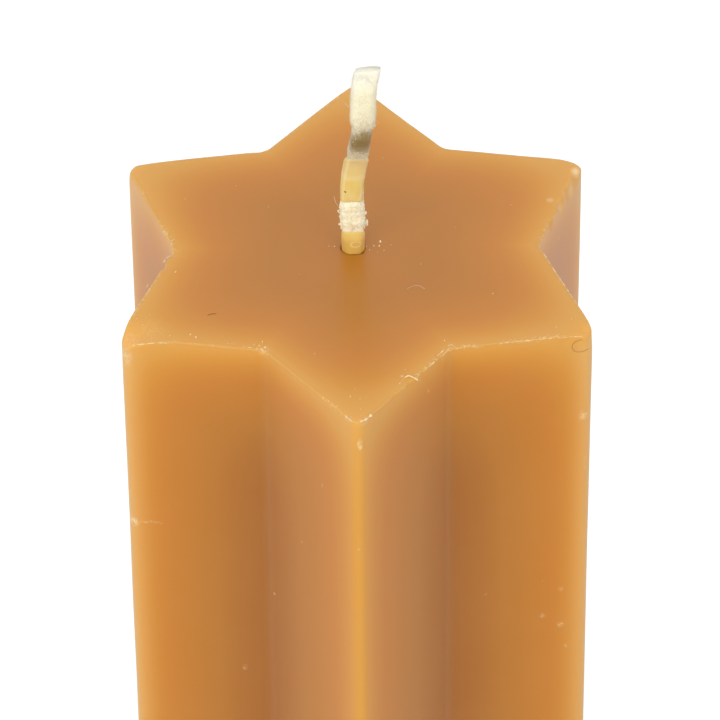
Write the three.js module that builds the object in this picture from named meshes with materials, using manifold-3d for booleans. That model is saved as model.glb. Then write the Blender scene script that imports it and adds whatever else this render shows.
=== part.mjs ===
// A pillar candle of beeswax in the shape of a six-pointed star, with a braided cotton wick that was pushed
// up through its middle from a steel tab in the base. Sizes are in millimetres and angles in degrees, +Z is
// up, the origin is the middle of the base, and one tip of the star points to -Y.
import * as THREE from 'three';
import { mergeVertices } from 'three/addons/utils/BufferGeometryUtils.js';
import Module from 'manifold-3d';

// Wax body: a star with as many tips as valleys, drawn in towards the top so that it leaves its mould
const tipCount = 6;
const candleHeight = 165;
const tipReach = 39.25; // axis to the sharp corner of a tip, at the base
const valleyReach = 26.4; // axis to the sharp corner of a valley, at the base
const tipRadius = 1.4;
const valleyRadius = 2.5;
const draftAngle = 0.27; // lean of every face
const rimRadius = 0.25; // edge of the top face, which the mould left almost sharp
const footRadius = 0.5; // edge of the base, rounded when it was levelled on a hot plate

// Wick: a square braid, squeezed thin where wax grips it and puffed out where it is bare
const wickOffAxis = -0.4; // how far the wick stands from the axis, along X
const grippedWidth = 2.45;
const puffWidth = 3.45; // between the two wax coats
const bendWidth = 2.85; // through the bend towards -Y
const tuftWidth = 3.55; // the bare end
const widthChange = 0.9; // length over which one width runs into the next
const squareness = 3; // exponent of the section: 2 is round, larger is squarer

// The stub above the top face, from the point where the wick leaves the wax
const stubRoute = [
  [0, 0, 0], [-0.03, 0, 3.5], [-0.1, 0, 8], [-0.05, 0.06, 11.4], [0.3, 0, 14.2], [0.68, -0.45, 16.7],
  [0.97, -1.7, 19.4], [1.24, -3.05, 22.2], [1.48, -4.05, 25.1], [1.55, -4.45, 28.4], [1.68, -4.5, 31.5],
  [2.11, -4.44, 34.5],
];

// The cut end, pinched between front and back by the scissors
const pinchLength = 3.2;
const pinch = 0.6; // share of the depth lost at the very end
const pinchSpread = 0.04; // share by which both sides spread there
const cornerSpread = 0.12; // further share on the +X side, where a corner sticks out

// Wax coats left on the wick, placed by length along the stub
const coatWall = 0.25;
const lowerCoatEnd = 4.2;
const upperCoatStart = 8.1;
const upperCoatEnd = 16.8;
const bendEnd = 25.5;

// Steel tab that carries the wick in the base
const tabRadius = 10;
const tabThickness = 0.3;
const tabRecess = 0.2; // height of its underside above the base
const neckHeight = 6;
const neckWall = 0.3;
const neckFillet = 1; // outside radius where the neck rises from the tab

// Clearances on each side
const gripGap = 0.15; // cotton to the wax coat, and to the neck
const channelGap = 0.3; // lower coat to the hole through the wax
const seatGap = 0.3; // tab and neck to the wax

// Facets
const tipSteps = 6;
const valleySteps = 6;
const edgeSteps = 4;
const wickSides = 16;
const stubStep = 0.75;
const turnSides = 48;

const radians = THREE.MathUtils.degToRad;

// Joins rings of equal count into one closed body. Each ring runs anticlockwise seen from the side that the
// list runs towards. Looped rings come back to the first one, and otherwise both ends are capped.
function loft(rings, looped = false) {
  const count = rings[0].length;
  const positions = rings.flat().flatMap((p) => [p.x, p.y, p.z]);
  const triangles = [];
  const joins = looped ? rings.length : rings.length - 1;
  for (let r = 0; r < joins; r++) {
    const low = r * count;
    const high = ((r + 1) % rings.length) * count;
    for (let i = 0; i < count; i++) {
      const j = (i + 1) % count;
      triangles.push(low + i, low + j, high + j, low + i, high + j, high + i);
    }
  }
  if (!looped) {
    const ends = [rings[0], rings[rings.length - 1]];
    ends.forEach((ring, end) => {
      const middle = ring.reduce((sum, p) => sum.add(p), new THREE.Vector3()).divideScalar(count);
      const hub = positions.length / 3;
      const first = end === 0 ? 0 : (rings.length - 1) * count;
      positions.push(middle.x, middle.y, middle.z);
      for (let i = 0; i < count; i++) {
        const j = (i + 1) % count;
        if (end === 0) triangles.push(hub, first + j, first + i);
        else triangles.push(hub, first + i, first + j);
      }
    });
  }
  const geometry = new THREE.BufferGeometry();
  geometry.setAttribute('position', new THREE.Float32BufferAttribute(positions, 3));
  geometry.setIndex(triangles);
  geometry.computeVertexNormals();
  return geometry;
}

// Solid of revolution round Z from a profile of [radius, height] points, given anticlockwise
function turned(profile) {
  const points = profile.map(([r, z]) => new THREE.Vector2(r, z));
  return new THREE.LatheGeometry([...points, points[0]], turnSides).rotateX(Math.PI / 2);
}

const wasm = await Module();
wasm.setup();

function asSolid(geometry) {
  const bare = geometry.clone();
  bare.deleteAttribute('normal');
  bare.deleteAttribute('uv');
  const merged = mergeVertices(bare, 1e-4);
  const kept = [];
  const index = merged.index.array;
  for (let i = 0; i < index.length; i += 3) {
    const [a, b, c] = index.slice(i, i + 3);
    if (a !== b && b !== c && c !== a) kept.push(a, b, c);
  }
  return new wasm.Manifold(new wasm.Mesh({
    numProp: 3,
    vertProperties: new Float32Array(merged.attributes.position.array),
    triVerts: new Uint32Array(kept),
  }));
}

function cutAway(body, tool) {
  const { vertProperties, triVerts } = asSolid(body).subtract(asSolid(tool)).getMesh();
  const geometry = new THREE.BufferGeometry();
  geometry.setAttribute('position', new THREE.Float32BufferAttribute(vertProperties, 3));
  geometry.setIndex(new THREE.Uint32BufferAttribute(triVerts, 1));
  geometry.computeVertexNormals();
  return geometry;
}

// The star's faces all stand at one distance from the axis, so moving them in scales its sharp corners
const halfPitch = Math.PI / tipCount;
const sideLength = Math.sqrt(
  tipReach ** 2 + valleyReach ** 2 - 2 * tipReach * valleyReach * Math.cos(halfPitch),
);
const faceDistance = (tipReach * valleyReach * Math.sin(halfPitch)) / sideLength;
const tipHalfAngle = Math.asin(faceDistance / tipReach);
const valleyHalfAngle = tipHalfAngle + halfPitch;

// Outline at one height. Draft moves the faces in and keeps the corner radii, and an edge's rounding moves
// them in further about the same corner centres.
function starRing(draftInset, edgeInset, z) {
  const scale = 1 - draftInset / faceDistance;
  const ring = [];
  for (let corner = 0; corner < 2 * tipCount; corner++) {
    const ray = -Math.PI / 2 + corner * halfPitch;
    const isTip = corner % 2 === 0;
    const centreReach = isTip
      ? tipReach * scale - tipRadius / Math.sin(tipHalfAngle)
      : valleyReach * scale + valleyRadius / Math.sin(valleyHalfAngle);
    const radius = isTip ? tipRadius - edgeInset : valleyRadius + edgeInset;
    const sweep = Math.PI / 2 - (isTip ? tipHalfAngle : valleyHalfAngle);
    const steps = isTip ? tipSteps : valleySteps;
    for (let i = 0; i <= steps; i++) {
      const turn = sweep * ((2 * i) / steps - 1);
      const angle = isTip ? ray + turn : ray + Math.PI - turn;
      ring.push(new THREE.Vector3(
        centreReach * Math.cos(ray) + radius * Math.cos(angle),
        centreReach * Math.sin(ray) + radius * Math.sin(angle),
        z,
      ));
    }
  }
  return ring;
}

function starBody() {
  const slope = Math.tan(radians(draftAngle));
  const rim = Math.min(rimRadius, 0.9 * tipRadius);
  const foot = Math.min(footRadius, 0.9 * tipRadius);
  const rings = [];
  for (let i = 0; i <= edgeSteps; i++) {
    const angle = (i / edgeSteps) * (Math.PI / 2);
    const z = foot * (1 - Math.sin(angle));
    rings.unshift(starRing(slope * z, foot * (1 - Math.cos(angle)), z));
  }
  for (let i = 0; i <= edgeSteps; i++) {
    const angle = (i / edgeSteps) * (Math.PI / 2);
    const z = candleHeight - rim * (1 - Math.sin(angle));
    rings.push(starRing(slope * z, rim * (1 - Math.cos(angle)), z));
  }
  return loft(rings);
}

// Sizes that the wick, its coats, the tab and the hole through the wax share
const cornerShare = 2 ** (0.5 - 1 / squareness); // half width to corner reach of the section
const gripWidth = grippedWidth + 2 * gripGap;
const coatWidth = gripWidth + 2 * coatWall;
const channelRadius = (coatWidth / 2) * cornerShare + channelGap;
const neckInner = (grippedWidth / 2) * cornerShare + gripGap;
const neckOuter = neckInner + neckWall;
const tabTop = tabRecess + tabThickness;
const neckTop = tabRecess + neckHeight;

// The hole through the wax, stepped for the neck and the tab
function wickHole() {
  const past = 1;
  return turned([
    [0, -past], [tabRadius + seatGap, -past], [tabRadius + seatGap, tabTop + seatGap],
    [neckOuter + neckFillet + seatGap, tabTop + seatGap],
    [neckOuter + seatGap, tabTop + neckFillet + seatGap],
    [neckOuter + seatGap, neckTop + seatGap], [channelRadius, neckTop + seatGap],
    [channelRadius, candleHeight + past], [0, candleHeight + past],
  ]);
}

function tab() {
  const fillet = [];
  for (let i = 0; i <= edgeSteps; i++) {
    const angle = (i / edgeSteps) * (Math.PI / 2);
    fillet.push([
      neckOuter + neckFillet * (1 - Math.sin(angle)),
      tabTop + neckFillet * (1 - Math.cos(angle)),
    ]);
  }
  return turned([
    [neckInner, tabRecess], [tabRadius, tabRecess], [tabRadius, tabTop],
    ...fillet, [neckOuter, neckTop], [neckInner, neckTop],
  ]);
}

// The wick's line: straight up through the wax, then the stub. Distances count from the top face.
const stub = new THREE.CatmullRomCurve3(stubRoute.map((p) => new THREE.Vector3(...p)));
stub.arcLengthDivisions = 1000;
const stubLength = stub.getLength();
const wickFoot = tabRecess - candleHeight;

function wickPoint(distance) {
  if (distance <= 0) return new THREE.Vector3(0, 0, distance);
  return stub.getPointAt(Math.min(distance / stubLength, 1));
}

function wickDirection(distance) {
  if (distance <= 0) return new THREE.Vector3(0, 0, 1);
  return stub.getTangentAt(Math.min(distance / stubLength, 1));
}

// One ring of the rounded square, square to the wick, its flats facing along X and Y
function wickRing(distance, width) {
  const along = wickDirection(distance);
  const back = new THREE.Vector3().crossVectors(along, new THREE.Vector3(1, 0, 0)).normalize();
  const side = new THREE.Vector3().crossVectors(back, along);
  const middle = wickPoint(distance);
  const cut = THREE.MathUtils.smoothstep(distance, stubLength - pinchLength, stubLength);
  const ring = [];
  for (let i = 0; i < wickSides; i++) {
    const angle = (2 * Math.PI * i) / wickSides;
    const c = Math.cos(angle);
    const s = Math.sin(angle);
    const reach = width / 2 / (Math.abs(c) ** squareness + Math.abs(s) ** squareness) ** (1 / squareness);
    const spread = 1 + pinchSpread * cut + (c > 0 ? cornerSpread * cut ** 2 : 0);
    const depth = 1 - pinch * cut;
    ring.push(middle.clone()
      .addScaledVector(side, reach * c * spread)
      .addScaledVector(back, reach * s * depth));
  }
  return ring;
}

// Distances for rings between two ends: few in the straight run, close together along the stub
function stations(from, to) {
  const list = [from];
  const start = Math.max(from, 0);
  if (from < 0 && to > 0) list.push(0);
  const steps = Math.ceil((to - start) / stubStep);
  for (let i = 1; i <= steps; i++) list.push(start + ((to - start) * i) / steps);
  return list;
}

// The cotton's width: gripped in the wax and in both coats, changing just outside their ends
function cottonWidth(distance) {
  const change = (at, width) => [at, at + widthChange, width];
  const changes = [
    change(lowerCoatEnd + gripGap, puffWidth),
    change(upperCoatStart - gripGap - widthChange, grippedWidth),
    change(upperCoatEnd + gripGap, bendWidth),
    change(bendEnd, tuftWidth),
  ];
  let width = grippedWidth;
  for (const [start, end, next] of changes) {
    width += (next - width) * THREE.MathUtils.smoothstep(distance, start, end);
  }
  return width;
}

function cotton() {
  return loft(stations(wickFoot, stubLength).map((d) => wickRing(d, cottonWidth(d))));
}

function waxCoat(from, to) {
  const list = stations(from, to);
  const outside = list.map((d) => wickRing(d, coatWidth));
  const inside = list.map((d) => wickRing(d, gripWidth)).reverse();
  return loft([...outside, ...inside], true);
}

const waxMaterial = new THREE.MeshStandardMaterial({ color: 0xc98c50, roughness: 0.42, metalness: 0 });
const coatMaterial = new THREE.MeshStandardMaterial({ color: 0xe2bd62, roughness: 0.35, metalness: 0 });
const cottonMaterial = new THREE.MeshStandardMaterial({ color: 0xf4ead2, roughness: 0.95, metalness: 0 });
const steelMaterial = new THREE.MeshStandardMaterial({ color: 0xb9bcbe, roughness: 0.35, metalness: 1 });

const candle = new THREE.Group();

function place(name, geometry, material, x = 0, z = 0) {
  const mesh = new THREE.Mesh(geometry, material);
  mesh.name = name;
  mesh.position.set(x, 0, z);
  candle.add(mesh);
}

place('wax_body', cutAway(starBody(), wickHole().translate(wickOffAxis, 0, 0)), waxMaterial);
place('wick', cotton(), cottonMaterial, wickOffAxis, candleHeight);
place('wick_wax_coat_lower', waxCoat(neckTop + seatGap - candleHeight, lowerCoatEnd), coatMaterial,
  wickOffAxis, candleHeight);
place('wick_wax_coat_upper', waxCoat(upperCoatStart, upperCoatEnd), coatMaterial, wickOffAxis, candleHeight);
place('wick_tab', tab(), steelMaterial, wickOffAxis);

export default candle;
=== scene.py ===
"""A star-shaped beeswax pillar candle with a braided cotton wick, dressed for rendering.

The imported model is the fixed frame. Every piece is built in metres in that frame and stands for one of
its nodes.
"""

import math

import bpy
import numpy as np
from bpy.props import FloatProperty, FloatVectorProperty, IntProperty, PointerProperty
from mathutils import Matrix, Vector, noise


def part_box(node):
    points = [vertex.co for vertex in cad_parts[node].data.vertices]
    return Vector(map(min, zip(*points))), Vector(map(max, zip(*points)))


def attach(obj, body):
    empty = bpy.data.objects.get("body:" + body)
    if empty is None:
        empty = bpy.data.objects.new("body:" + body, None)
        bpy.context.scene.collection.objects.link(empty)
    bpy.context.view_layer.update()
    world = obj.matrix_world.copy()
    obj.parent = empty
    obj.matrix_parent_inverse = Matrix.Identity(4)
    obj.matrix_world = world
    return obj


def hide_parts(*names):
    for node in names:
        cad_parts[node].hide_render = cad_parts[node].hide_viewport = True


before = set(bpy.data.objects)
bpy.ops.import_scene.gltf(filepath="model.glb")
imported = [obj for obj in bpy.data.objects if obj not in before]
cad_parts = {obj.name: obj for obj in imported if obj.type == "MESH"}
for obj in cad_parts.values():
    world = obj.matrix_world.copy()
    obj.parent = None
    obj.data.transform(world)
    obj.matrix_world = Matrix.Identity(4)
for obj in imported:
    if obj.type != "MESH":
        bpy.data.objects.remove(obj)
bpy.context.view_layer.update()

bl_info = {
    "name": "Star Pillar Candle",
    "version": (1, 0, 0),
    "blender": (4, 5, 0),
    "location": "View3D > Sidebar > Candle",
    "description": "Builds a star-shaped beeswax pillar candle piece by piece",
    "category": "Add Mesh",
}

MM = 0.001
TURN = 2 * math.pi
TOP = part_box("wax_body")[1].z
TAB_LOW, TAB_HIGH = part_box("wick_tab")
WICK_X = (TAB_LOW.x + TAB_HIGH.x) / 2
COAT_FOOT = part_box("wick_wax_coat_lower")[0].z
# Length of wick below the top face
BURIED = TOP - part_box("wick")[0].z


# Sizes and colours


def length_property(name, description, millimetres):
    return FloatProperty(name=name, description=description, default=millimetres * MM, unit="LENGTH")


def angle_property(name, description, degrees):
    return FloatProperty(name=name, description=description, default=math.radians(degrees), subtype="ANGLE")


def colour_property(name, description, *colour):
    return FloatVectorProperty(name=name, description=description, default=colour, subtype="COLOR", size=3)


def place_property(name, description, *millimetres):
    place = [value * MM for value in millimetres]
    return FloatVectorProperty(name=name, description=description, default=place, subtype="TRANSLATION")


class CandleWax(bpy.types.PropertyGroup):
    """Sizes and colours of the moulded wax."""

    tips: IntProperty(name="Tips", description="Tips of the star", default=6, min=3, max=12)
    tip_reach: length_property("Tip Reach", "Axis to the sharp corner of a tip, at the base", 39.25)
    valley_reach: length_property("Valley Reach", "Axis to the sharp corner of a valley, at the base", 26.4)
    tip_radius: length_property("Tip Radius", "Rounding of the tips", 1.4)
    valley_radius: length_property("Valley Radius", "Rounding of the valleys", 2.5)
    draft: angle_property("Draft", "Lean of every face towards the top", 0.27)
    rim_radius: length_property("Rim Radius", "Edge of the top face", 0.25)
    foot_radius: length_property("Foot Radius", "Rounded edge of the base", 0.5)
    hole_radius: length_property("Hole Radius", "Hole that the wick pin left", 2.124)
    # The glow colour and glow depth paint the light that passes through the wax into its base colour: a
    # painted glow.
    body_colour: colour_property("Body Colour", "Colour deep inside the wax", 0.405, 0.140, 0.019)
    painted_glow_colour: colour_property("Edge Colour", "Colour where light passes through", 0.83, 0.48, 0.14)
    glow_depth: length_property("Glow Depth", "Depth at which light from a face fades to a third", 6)


class CandleWick(bpy.types.PropertyGroup):
    """Sizes and colours of the braided wick and of the wax left on it. Lengths count from the top face."""

    gripped_width: length_property("Gripped Width", "Where wax grips the cotton", 2.45)
    puff_width: length_property("Puff Width", "Between the two wax coats", 3.45)
    bend_width: length_property("Bend Width", "Through the bend", 2.85)
    tuft_width: length_property("Tuft Width", "The bare end", 3.55)
    coat_width: length_property("Coat Width", "Outside of the wax coats", 3.25)
    coat_wall: length_property("Coat Wall", "Thickness of the wax coats", 0.25)
    lower_coat_end: length_property("Lower Coat End", "Top of the lower wax coat", 4.2)
    upper_coat_start: length_property("Upper Coat Start", "Foot of the upper wax coat", 8.1)
    upper_coat_end: length_property("Upper Coat End", "Top of the upper wax coat", 16.8)
    bend_end: length_property("Bend End", "Where the bare end begins", 25.5)
    braid_pitch: length_property("Braid Pitch", "Length of one turn of a strand", 8)
    yarns: IntProperty(name="Yarns", description="Yarns in each strand", default=4, min=1, max=8)
    fibres: IntProperty(name="Fibres", description="Loose fibres per square centimetre", default=1500, min=0)
    cotton_colour: colour_property("Cotton Colour", "Bare dry cotton", 1.0, 0.93, 0.67)
    # The soaked colour is partly wax soaked into the cotton, partly painted shade of the bend's underside
    soaked_and_shaded_colour: colour_property("Soaked Colour", "Cotton soaked with wax at the bend", 0.22, 0.137, 0.01)
    coat_colour: colour_property("Coat Colour", "Thin wax over cotton", 0.84, 0.60, 0.22)


class CandleStage(bpy.types.PropertyGroup):
    """Camera and light."""

    camera_place: place_property("Camera Place", "Where the camera stands", -0.2, -512.2, 584.4)
    camera_aim: place_property("Camera Aim", "Point in the middle of the picture", 0.4, 0, 144.04)
    roll: angle_property("Roll", "Turn of the camera about its view", -0.545)
    lens: FloatProperty(name="Lens", description="Focal length on a 36 mm sensor", default=235.8)
    world_level: FloatProperty(name="World Level", description="Light from all round", default=0.84)
    left_level: FloatProperty(name="Left Level", description="Watts of the left lamp", default=7.0)
    right_level: FloatProperty(name="Right Level", description="Watts of the right lamp", default=3.2)


# Nodes


def is_vector(value):
    """Whether a value is a vector, or a wire that carries one."""
    if isinstance(value, Wire):
        return value.socket.type in {"VECTOR", "RGBA"}
    return isinstance(value, tuple)


def calculation(operation, swapped=False):
    """A method that joins a wire and another value by a Math node, or by a Vector Math node for vectors."""

    def method(wire, other):
        one, two = (other, wire) if swapped else (wire, other)
        if not is_vector(one) and not is_vector(two):
            return wire.nodes.math(operation, one, two)
        if operation == "MULTIPLY" and not is_vector(two):
            return wire.nodes.get("ShaderNodeVectorMath", {0: one, "Scale": two}, operation="SCALE")
        return wire.nodes.vector(operation, one, two)

    return method


class Wire:
    """A node's output, which can be reckoned with like a number or a vector."""

    def __init__(self, nodes, socket):
        self.nodes = nodes
        self.socket = socket

    __add__ = calculation("ADD")
    __radd__ = calculation("ADD", swapped=True)
    __sub__ = calculation("SUBTRACT")
    __rsub__ = calculation("SUBTRACT", swapped=True)
    __mul__ = calculation("MULTIPLY")
    __truediv__ = calculation("DIVIDE")
    __rtruediv__ = calculation("DIVIDE", swapped=True)
    __pow__ = calculation("POWER")


class Nodes:
    """Adds nodes to a tree and joins their sockets, so that a tree reads as a list of steps."""

    def __init__(self, tree):
        self.tree = tree

    def add(self, kind, inputs=(), **settings):
        node = self.tree.nodes.new(kind)
        for name, value in settings.items():
            setattr(node, name, value)
        self.fill(node, inputs)
        return node

    def fill(self, node, inputs):
        for key, value in dict(inputs).items():
            self.join(value, node.inputs[key])

    def join(self, value, socket):
        if isinstance(value, Wire):
            self.tree.links.new(value.socket, socket)
        else:
            socket.default_value = value

    def get(self, kind, inputs=(), output=0, **settings):
        """One output of a new node."""
        return Wire(self, self.add(kind, inputs, **settings).outputs[output])

    def outputs(self, names, kind, inputs=(), **settings):
        """Several outputs of a new node."""
        node = self.add(kind, inputs, **settings)
        return [Wire(self, node.outputs[name]) for name in names]

    def axes(self, vector):
        return self.outputs(("X", "Y", "Z"), "ShaderNodeSeparateXYZ", {0: vector})

    def combined(self, x, y, z):
        return self.get("ShaderNodeCombineXYZ", {"X": x, "Y": y, "Z": z})

    def math(self, operation, *values):
        return self.get("ShaderNodeMath", enumerate(values), operation=operation)

    def vector(self, operation, *values):
        return self.get("ShaderNodeVectorMath", enumerate(values), operation=operation)

    def length(self, vector):
        return self.get("ShaderNodeVectorMath", {0: vector}, "Value", operation="LENGTH")

    def largest(self, first, *others):
        for other in others:
            first = self.math("MAXIMUM", first, other)
        return first

    def mix(self, share, one, other):
        """One colour run into another by a share from 0 to 1."""
        node = self.add("ShaderNodeMix", {"Factor": share}, data_type="RGBA", clamp_factor=True)
        for value, socket in zip((one, other), [s for s in node.inputs if s.type == "RGBA"]):
            self.join(value, socket)
        return Wire(self, [s for s in node.outputs if s.type == "RGBA"][0])

    def ranged(self, value, low, high, to_low=0.0, to_high=1.0, easing="SMOOTHSTEP"):
        """A value's place between two limits, eased at both ends unless another easing is given."""
        limits = {"Value": value, "From Min": low, "From Max": high, "To Min": to_low, "To Max": to_high}
        return self.get("ShaderNodeMapRange", limits, interpolation_type=easing)

    def noise(self, place, scale, detail=2.0, roughness=0.5):
        inputs = {"Vector": place, "Scale": scale, "Detail": detail, "Roughness": roughness}
        return self.get("ShaderNodeTexNoise", inputs, "Fac")

    def wobble(self, place, scale, detail=2.0, **fourth):
        """A vector of noise about zero, which also changes with W where that is given."""
        inputs = {"Vector": place, "Scale": scale, "Detail": detail, **fourth}
        dimensions = "4D" if fourth else "3D"
        return self.get("ShaderNodeTexNoise", inputs, "Color", noise_dimensions=dimensions) - (0.5, 0.5, 0.5)

    def ramp(self, value, stops):
        """A colour ramp, its stops given as position: colour."""
        node = self.add("ShaderNodeValToRGB", {"Fac": value})
        elements = node.color_ramp.elements
        for i, (position, colour) in enumerate(stops.items()):
            element = elements[i] if i < 2 else elements.new(position)
            element.position = position
            element.color = (*colour, 1)
        return Wire(self, node.outputs["Color"])

    def bump(self, height, strength, distance):
        return self.get("ShaderNodeBump", {"Height": height, "Strength": strength, "Distance": distance})

    def place(self):
        """Where a material is, in the model's frame."""
        return self.get("ShaderNodeTexCoord", output="Object")

    def attribute(self, name):
        return self.get("ShaderNodeAttribute", output="Fac", attribute_name=name)

    def named(self, name):
        """A number that the geometry carries under a name."""
        return self.get("GeometryNodeInputNamedAttribute", {"Name": name}, "Attribute", data_type="FLOAT")

    def stored(self, geometry, name, value):
        inputs = {"Geometry": geometry, "Name": name, "Value": value}
        return self.get("GeometryNodeStoreNamedAttribute", inputs, data_type="FLOAT", domain="POINT")

    def random(self, low, high, number, seed):
        """A number between two limits for each value of another number."""
        given = {2: low, 3: high, 7: number, 8: seed}
        return self.get("FunctionNodeRandomValue", given, 1, data_type="FLOAT")

    def random_vector(self, low, high, seed):
        return self.get("FunctionNodeRandomValue", {0: low, 1: high, 8: seed}, data_type="FLOAT_VECTOR")

    def scattered(self, points, shape, turn, size, waves, detail, amount):
        """Copies of a shape on points, made real and roughened by noise."""
        inputs = {"Points": points, "Instance": shape, "Rotation": turn, "Scale": size}
        placed = self.get("GeometryNodeInstanceOnPoints", inputs)
        whole = self.get("GeometryNodeRealizeInstances", {"Geometry": placed})
        rough = self.wobble(self.get("GeometryNodeInputPosition"), waves, detail)
        return self.get("GeometryNodeSetPosition", {"Geometry": whole, "Offset": rough * amount})

    def end(self, geometry, material):
        """Makes the geometry real, gives it its material and hands it out."""
        whole = self.get("GeometryNodeRealizeInstances", {"Geometry": geometry})
        dressed = self.get("GeometryNodeSetMaterial", {"Geometry": whole, "Material": material})
        self.join(dressed, self.add("NodeGroupOutput").inputs["Geometry"])
        return self.tree


def shape_tree(name, inputs):
    """A Geometry Nodes tree with named inputs, given as name: value."""
    kinds = {int: "NodeSocketInt", float: "NodeSocketFloat", bpy.types.Material: "NodeSocketMaterial"}
    tree = bpy.data.node_groups.new(name, "GeometryNodeTree")
    tree.interface.new_socket("Geometry", in_out="INPUT", socket_type="NodeSocketGeometry")
    tree.interface.new_socket("Geometry", in_out="OUTPUT", socket_type="NodeSocketGeometry")
    for label, value in inputs.items():
        socket = tree.interface.new_socket(label, in_out="INPUT", socket_type=kinds[type(value)])
        socket.default_value = value
    n = Nodes(tree)
    given = {socket.name: Wire(n, socket) for socket in n.add("NodeGroupInput").outputs}
    return n, given


def grown(source, name, tree):
    """The plain mesh that a Geometry Nodes tree makes from an object, which is used up."""
    bpy.context.scene.collection.objects.link(source)
    modifier = source.modifiers.new(name, "NODES")
    modifier.node_group = tree
    shape = source.evaluated_get(bpy.context.evaluated_depsgraph_get())
    mesh = bpy.data.meshes.new_from_object(shape)
    mesh.name = name
    source.modifiers.remove(modifier)
    bpy.data.objects.remove(source)
    return mesh


def plain_material(name):
    """A new material with one Principled shader, as its builder and that shader."""
    material = bpy.data.materials.new(name)
    material.use_nodes = True
    return material, Nodes(material.node_tree), material.node_tree.nodes["Principled BSDF"]


def scattering(weight, radius, millimetres):
    """Shader inputs for light that spreads under the surface."""
    return {"Subsurface Weight": weight, "Subsurface Radius": radius, "Subsurface Scale": millimetres * MM}


# Meshes


def curve_object(name, points, radii=None):
    """An open poly curve through points."""
    curve = bpy.data.curves.new(name, "CURVE")
    curve.dimensions = "3D"
    spline = curve.splines.new("POLY")
    spline.points.add(len(points) - 1)
    for i, point in enumerate(points):
        spline.points[i].co = (*point, 1)
        if radii is not None:
            spline.points[i].radius = radii[i]
    return bpy.data.objects.new(name, curve)


def finished(name, mesh, material, slot, *nodes):
    """Puts a mesh in the scene as the piece that stands for these nodes."""
    piece = bpy.data.objects.new(name, mesh)
    bpy.context.scene.collection.objects.link(piece)
    mesh.materials.clear()
    mesh.materials.append(material)
    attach(piece, "root")
    if nodes:
        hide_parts(*nodes)
    return piece


def joined(piece, meshes, material):
    """Adds more meshes of the same material to a piece."""
    others = [bpy.data.objects.new(mesh.name, mesh) for mesh in meshes]
    for other in others:
        other.data.materials.append(material)
        bpy.context.scene.collection.objects.link(other)
    with bpy.context.temp_override(active_object=piece, selected_editable_objects=[piece, *others]):
        bpy.ops.object.join()


def ring_faces(one, other):
    """Faces from one ring of vertex numbers to the next, of the same count or a multiple of it."""
    if len(one) < len(other):
        return [face[::-1] for face in ring_faces(other, one)]
    ratio = len(one) // len(other)
    faces = []
    for i, corner in enumerate(one):
        j = (i + 1) % len(one)
        a, b = other[i // ratio], other[j // ratio]
        faces.append((corner, one[j], a) if a == b else (corner, one[j], b, a))
    return faces


def looped_mesh(name, rings, closed=True):
    """A mesh over rings of points, each joined to the next. A closed one also joins the last to the first."""
    numbers = []
    count = 0
    for ring in rings:
        numbers.append(list(range(count, count + len(ring))))
        count += len(ring)
    faces = []
    for i in range(len(rings) if closed else len(rings) - 1):
        faces += ring_faces(numbers[i], numbers[(i + 1) % len(rings)])
    if not closed:
        faces += [tuple(numbers[0][::-1]), tuple(numbers[-1])]
    mesh = bpy.data.meshes.new(name)
    mesh.from_pydata(np.concatenate(rings).tolist(), [], faces)
    mesh.update()
    mesh.shade_smooth()
    return mesh


def write_values(mesh, name, values):
    """Stores a number for every point of a mesh."""
    mesh.attributes.new(name, "FLOAT", "POINT").data.foreach_set("value", np.asarray(values, dtype=float))


def eased(value, low, high):
    share = np.clip((value - low) / (high - low), 0, 1)
    return share * share * (3 - 2 * share)


def blended(one, other, share):
    return one * (1 - share) + other * share


def turns(count):
    """Evenly spaced angles round a circle."""
    return np.arange(count) * TURN / count


def level_ring(angles, radius, height):
    """A ring of points round the wick's axis."""
    height = np.full(len(angles), height)
    return np.stack([WICK_X + radius * np.cos(angles), radius * np.sin(angles), height], axis=1)


def ripple(points, scale=1, shift=0):
    """Smooth noise at every point, finer for a larger scale."""
    return np.array([noise.noise(point) for point in np.asarray(points) * scale + shift])


def ring_ripple(angles, waves, x=0.0, y=0.0, z=0.0):
    """Smooth noise round a ring, with a place in the noise to take it from."""
    return ripple(np.stack([waves * np.cos(angles) + x, waves * np.sin(angles) + y, z + 0 * angles], axis=1))


# Wax body

POINTS_AROUND = 840
FILLET_POINTS = 10
SIDE_ROWS = 58
FOOT_ROWS = 5
RIM_ROWS = 8
# How far the tips' upper corners are rounded off, in millimetres, from the front tip on, anticlockwise
TIP_WEAR = (0.0, 0.6, 0.8, 0.3, 0.3, 0.8)
# How far the same corners sank as the wax set, how far that reaches and how far it drew them in
TIP_DROOP = (
    (0.0, 2.0, 0.0), (0.75, 2.8, 0.35), (0.35, 1.7, 0.1), (0.0, 3.0, 0.0), (0.0, 3.0, 0.0), (1.55, 4.6, 0.0),
)
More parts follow.
